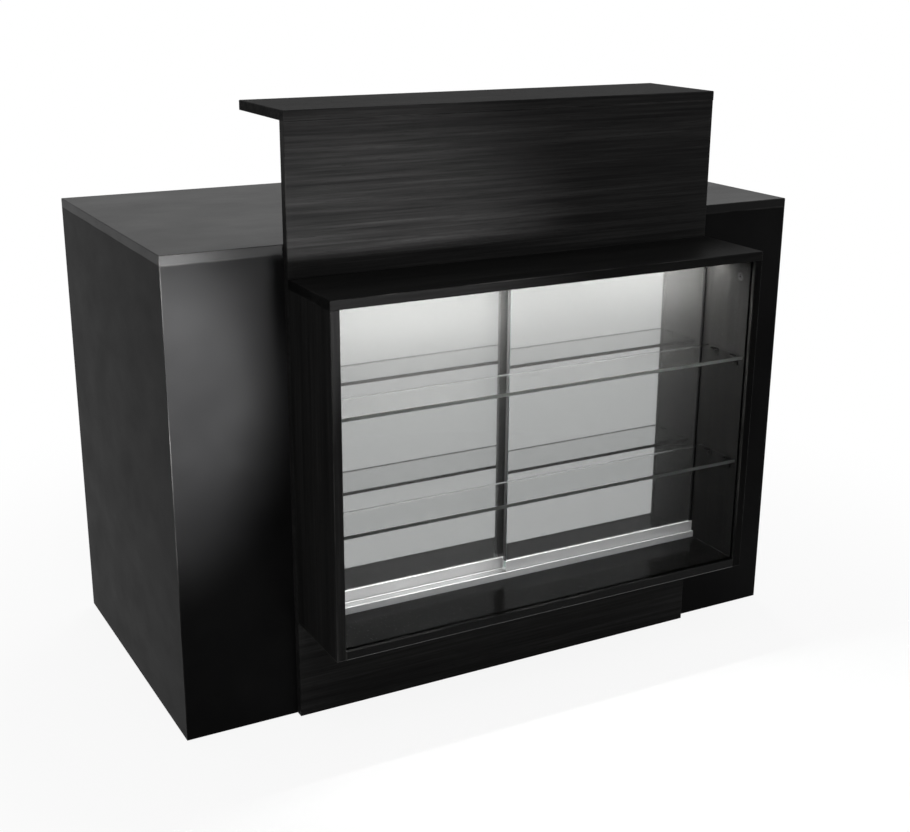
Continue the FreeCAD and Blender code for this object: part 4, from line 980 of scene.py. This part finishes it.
class DESK_OT_stage(bpy.types.Operator):
    """Set up the floor, the lamps, the world and the camera."""

    bl_idname = "desk.stage"
    bl_label = "Stage"

    def execute(self, context):
        stage = context.scene.desk_stage
        self.make_floor(stage)
        self.make_world(context, stage)
        self.make_lamps(context)
        self.make_camera(context, stage)
        context.scene.view_settings.view_transform = "Standard"
        return {"FINISHED"}

    @staticmethod
    def seen(nodes):
        """1 for the rays that show a surface, in sight, in a reflection or through glass."""
        path = nodes.node("ShaderNodeLightPath", output="Is Camera Ray")
        outputs = path.socket.node.outputs
        glossy, through = (Value(nodes, outputs[name]) for name in ("Is Glossy Ray", "Is Transmission Ray"))
        return path.higher(glossy).higher(through)

    def make_floor(self, stage):
        """A pale floor that keeps the shadow and fades to white."""
        half = FLOOR_HALF
        corners = [(-half, -half, 0), (half, -half, 0), (half, half, 0), (-half, half, 0)]
        floor = new_piece("floor", [])
        floor.data.from_pydata(corners, [], [(0, 1, 2, 3)])
        finish = Finish("floor")
        lit = finish.node("ShaderNodeBsdfDiffuse", None, {"Color": stage.floor})
        white = finish.node("ShaderNodeEmission", None, {"Color": (1, 1, 1), "Strength": 1.0})
        across = finish.node("ShaderNodeVectorMath", {"operation": "LENGTH"}, {0: finish.place}, "Value")
        far = across.between(stage.shadow_reach, stage.shadow_reach * 2)
        share = self.seen(finish) * (stage.floor_white + far * (1 - stage.floor_white))
        mixed = finish.node("ShaderNodeMixShader", None, {0: share, 1: lit, 2: white})
        floor.data.materials.append(finish.show(mixed))

    def make_world(self, context, stage):
        """Light from all round, in front of a plain white ground."""
        world = bpy.data.worlds.new("studio")
        world.use_nodes = True
        context.scene.world = world
        nodes = Nodes(world.node_tree)
        ambient = nodes.node("ShaderNodeBackground", None, {"Color": (1, 1, 1), "Strength": stage.ambient})
        white = nodes.node("ShaderNodeBackground", None, {"Color": (1, 1, 1), "Strength": 1.0})
        mixed = nodes.node("ShaderNodeMixShader", None, {0: self.seen(nodes), 1: ambient, 2: white})
        nodes.node("ShaderNodeOutputWorld", None, {"Surface": mixed})

    @staticmethod
    def hang(context, lamp, place, target):
        """Hangs a lamp at a place and points it at a target."""
        holder = bpy.data.objects.new(lamp.name, lamp)
        holder.location = place
        holder.rotation_euler = (Vector(target) - Vector(place)).to_track_quat("-Z", "Y").to_euler()
        context.scene.collection.objects.link(holder)
        return holder

    def make_lamps(self, context):
        """Broad lamps for everything, and pools of light for the boards alone."""
        for name, (place, target, width, power) in LAMPS.items():
            lamp = bpy.data.lights.new(name, "AREA")
            lamp.shape = "DISK"
            lamp.size = width
            lamp.energy = power
            self.hang(context, lamp, place, target)
        boards = bpy.data.collections.new("boards")
        for node in (*nodes_with("black_laminate"), *nodes_with("grained_laminate")):
            boards.objects.link(frame["nodes"][node])
        for name, (place, target, stretch, spread, power) in POOLS.items():
            pool = bpy.data.lights.new(name, "SPOT")
            pool.energy = power
            pool.spot_size = spread
            pool.spot_blend = 1
            pool.shadow_soft_size = POOL_RADIUS
            holder = self.hang(context, pool, place, target)
            holder.scale = stretch
            holder.light_linking.receiver_collection = boards

    def make_camera(self, context, stage):
        """The camera that sees the desk as the photograph does."""
        turn, rise = stage.azimuth, stage.elevation
        back = Vector((math.sin(turn) * math.cos(rise), -math.cos(turn) * math.cos(rise), math.sin(rise)))
        level = Vector((math.cos(turn), math.sin(turn), 0))
        right = level * math.cos(stage.roll) + back.cross(level) * math.sin(stage.roll)
        data = bpy.data.cameras.new("camera")
        data.sensor_fit = "HORIZONTAL"
        data.sensor_width = SENSOR_WIDTH
        data.lens = stage.lens
        camera = bpy.data.objects.new("camera", data)
        pose = Matrix((right, back.cross(right), back)).transposed().to_4x4()
        pose.translation = stage.camera_place
        camera.matrix_world = pose
        context.scene.collection.objects.link(camera)
        context.scene.camera = camera


class DESK_PT_panel(bpy.types.Panel):
    """Lists the desk's settings and the steps that make it."""

    bl_idname = "DESK_PT_panel"
    bl_label = "Reception Desk"
    bl_space_type = "VIEW_3D"
    bl_region_type = "UI"
    bl_category = "Desk"

    def draw(self, context):
        for group in (context.scene.desk_finishes, context.scene.desk_fixings, context.scene.desk_stage):
            column = self.layout.column()
            for name in group.__annotations__:
                column.prop(group, name)
        for operator in OPERATORS:
            self.layout.operator(operator.bl_idname)


GROUPS = {"desk_finishes": DeskFinishes, "desk_fixings": DeskFixings, "desk_stage": DeskStage}
OPERATORS = (DESK_OT_carcass, DESK_OT_grained_boards, DESK_OT_glazing, DESK_OT_metalwork, DESK_OT_plastics,
             DESK_OT_mirror_trim, DESK_OT_light, DESK_OT_screws, DESK_OT_stage)
CLASSES = (*GROUPS.values(), *OPERATORS, DESK_PT_panel)


def register():
    """Registers the classes and hangs their settings on the scene."""
    for cls in CLASSES:
        bpy.utils.register_class(cls)
    for name, group in GROUPS.items():
        setattr(bpy.types.Scene, name, PointerProperty(type=group))


def unregister():
    """Takes the settings and the classes away again."""
    for name in GROUPS:
        delattr(bpy.types.Scene, name)
    for cls in reversed(CLASSES):
        bpy.utils.unregister_class(cls)


def main():
    """Makes the whole desk."""
    register()
    for operator in OPERATORS:
        family, step = operator.bl_idname.split(".")
        getattr(getattr(bpy.ops, family), step)()


if __name__ == "__main__":
    main()
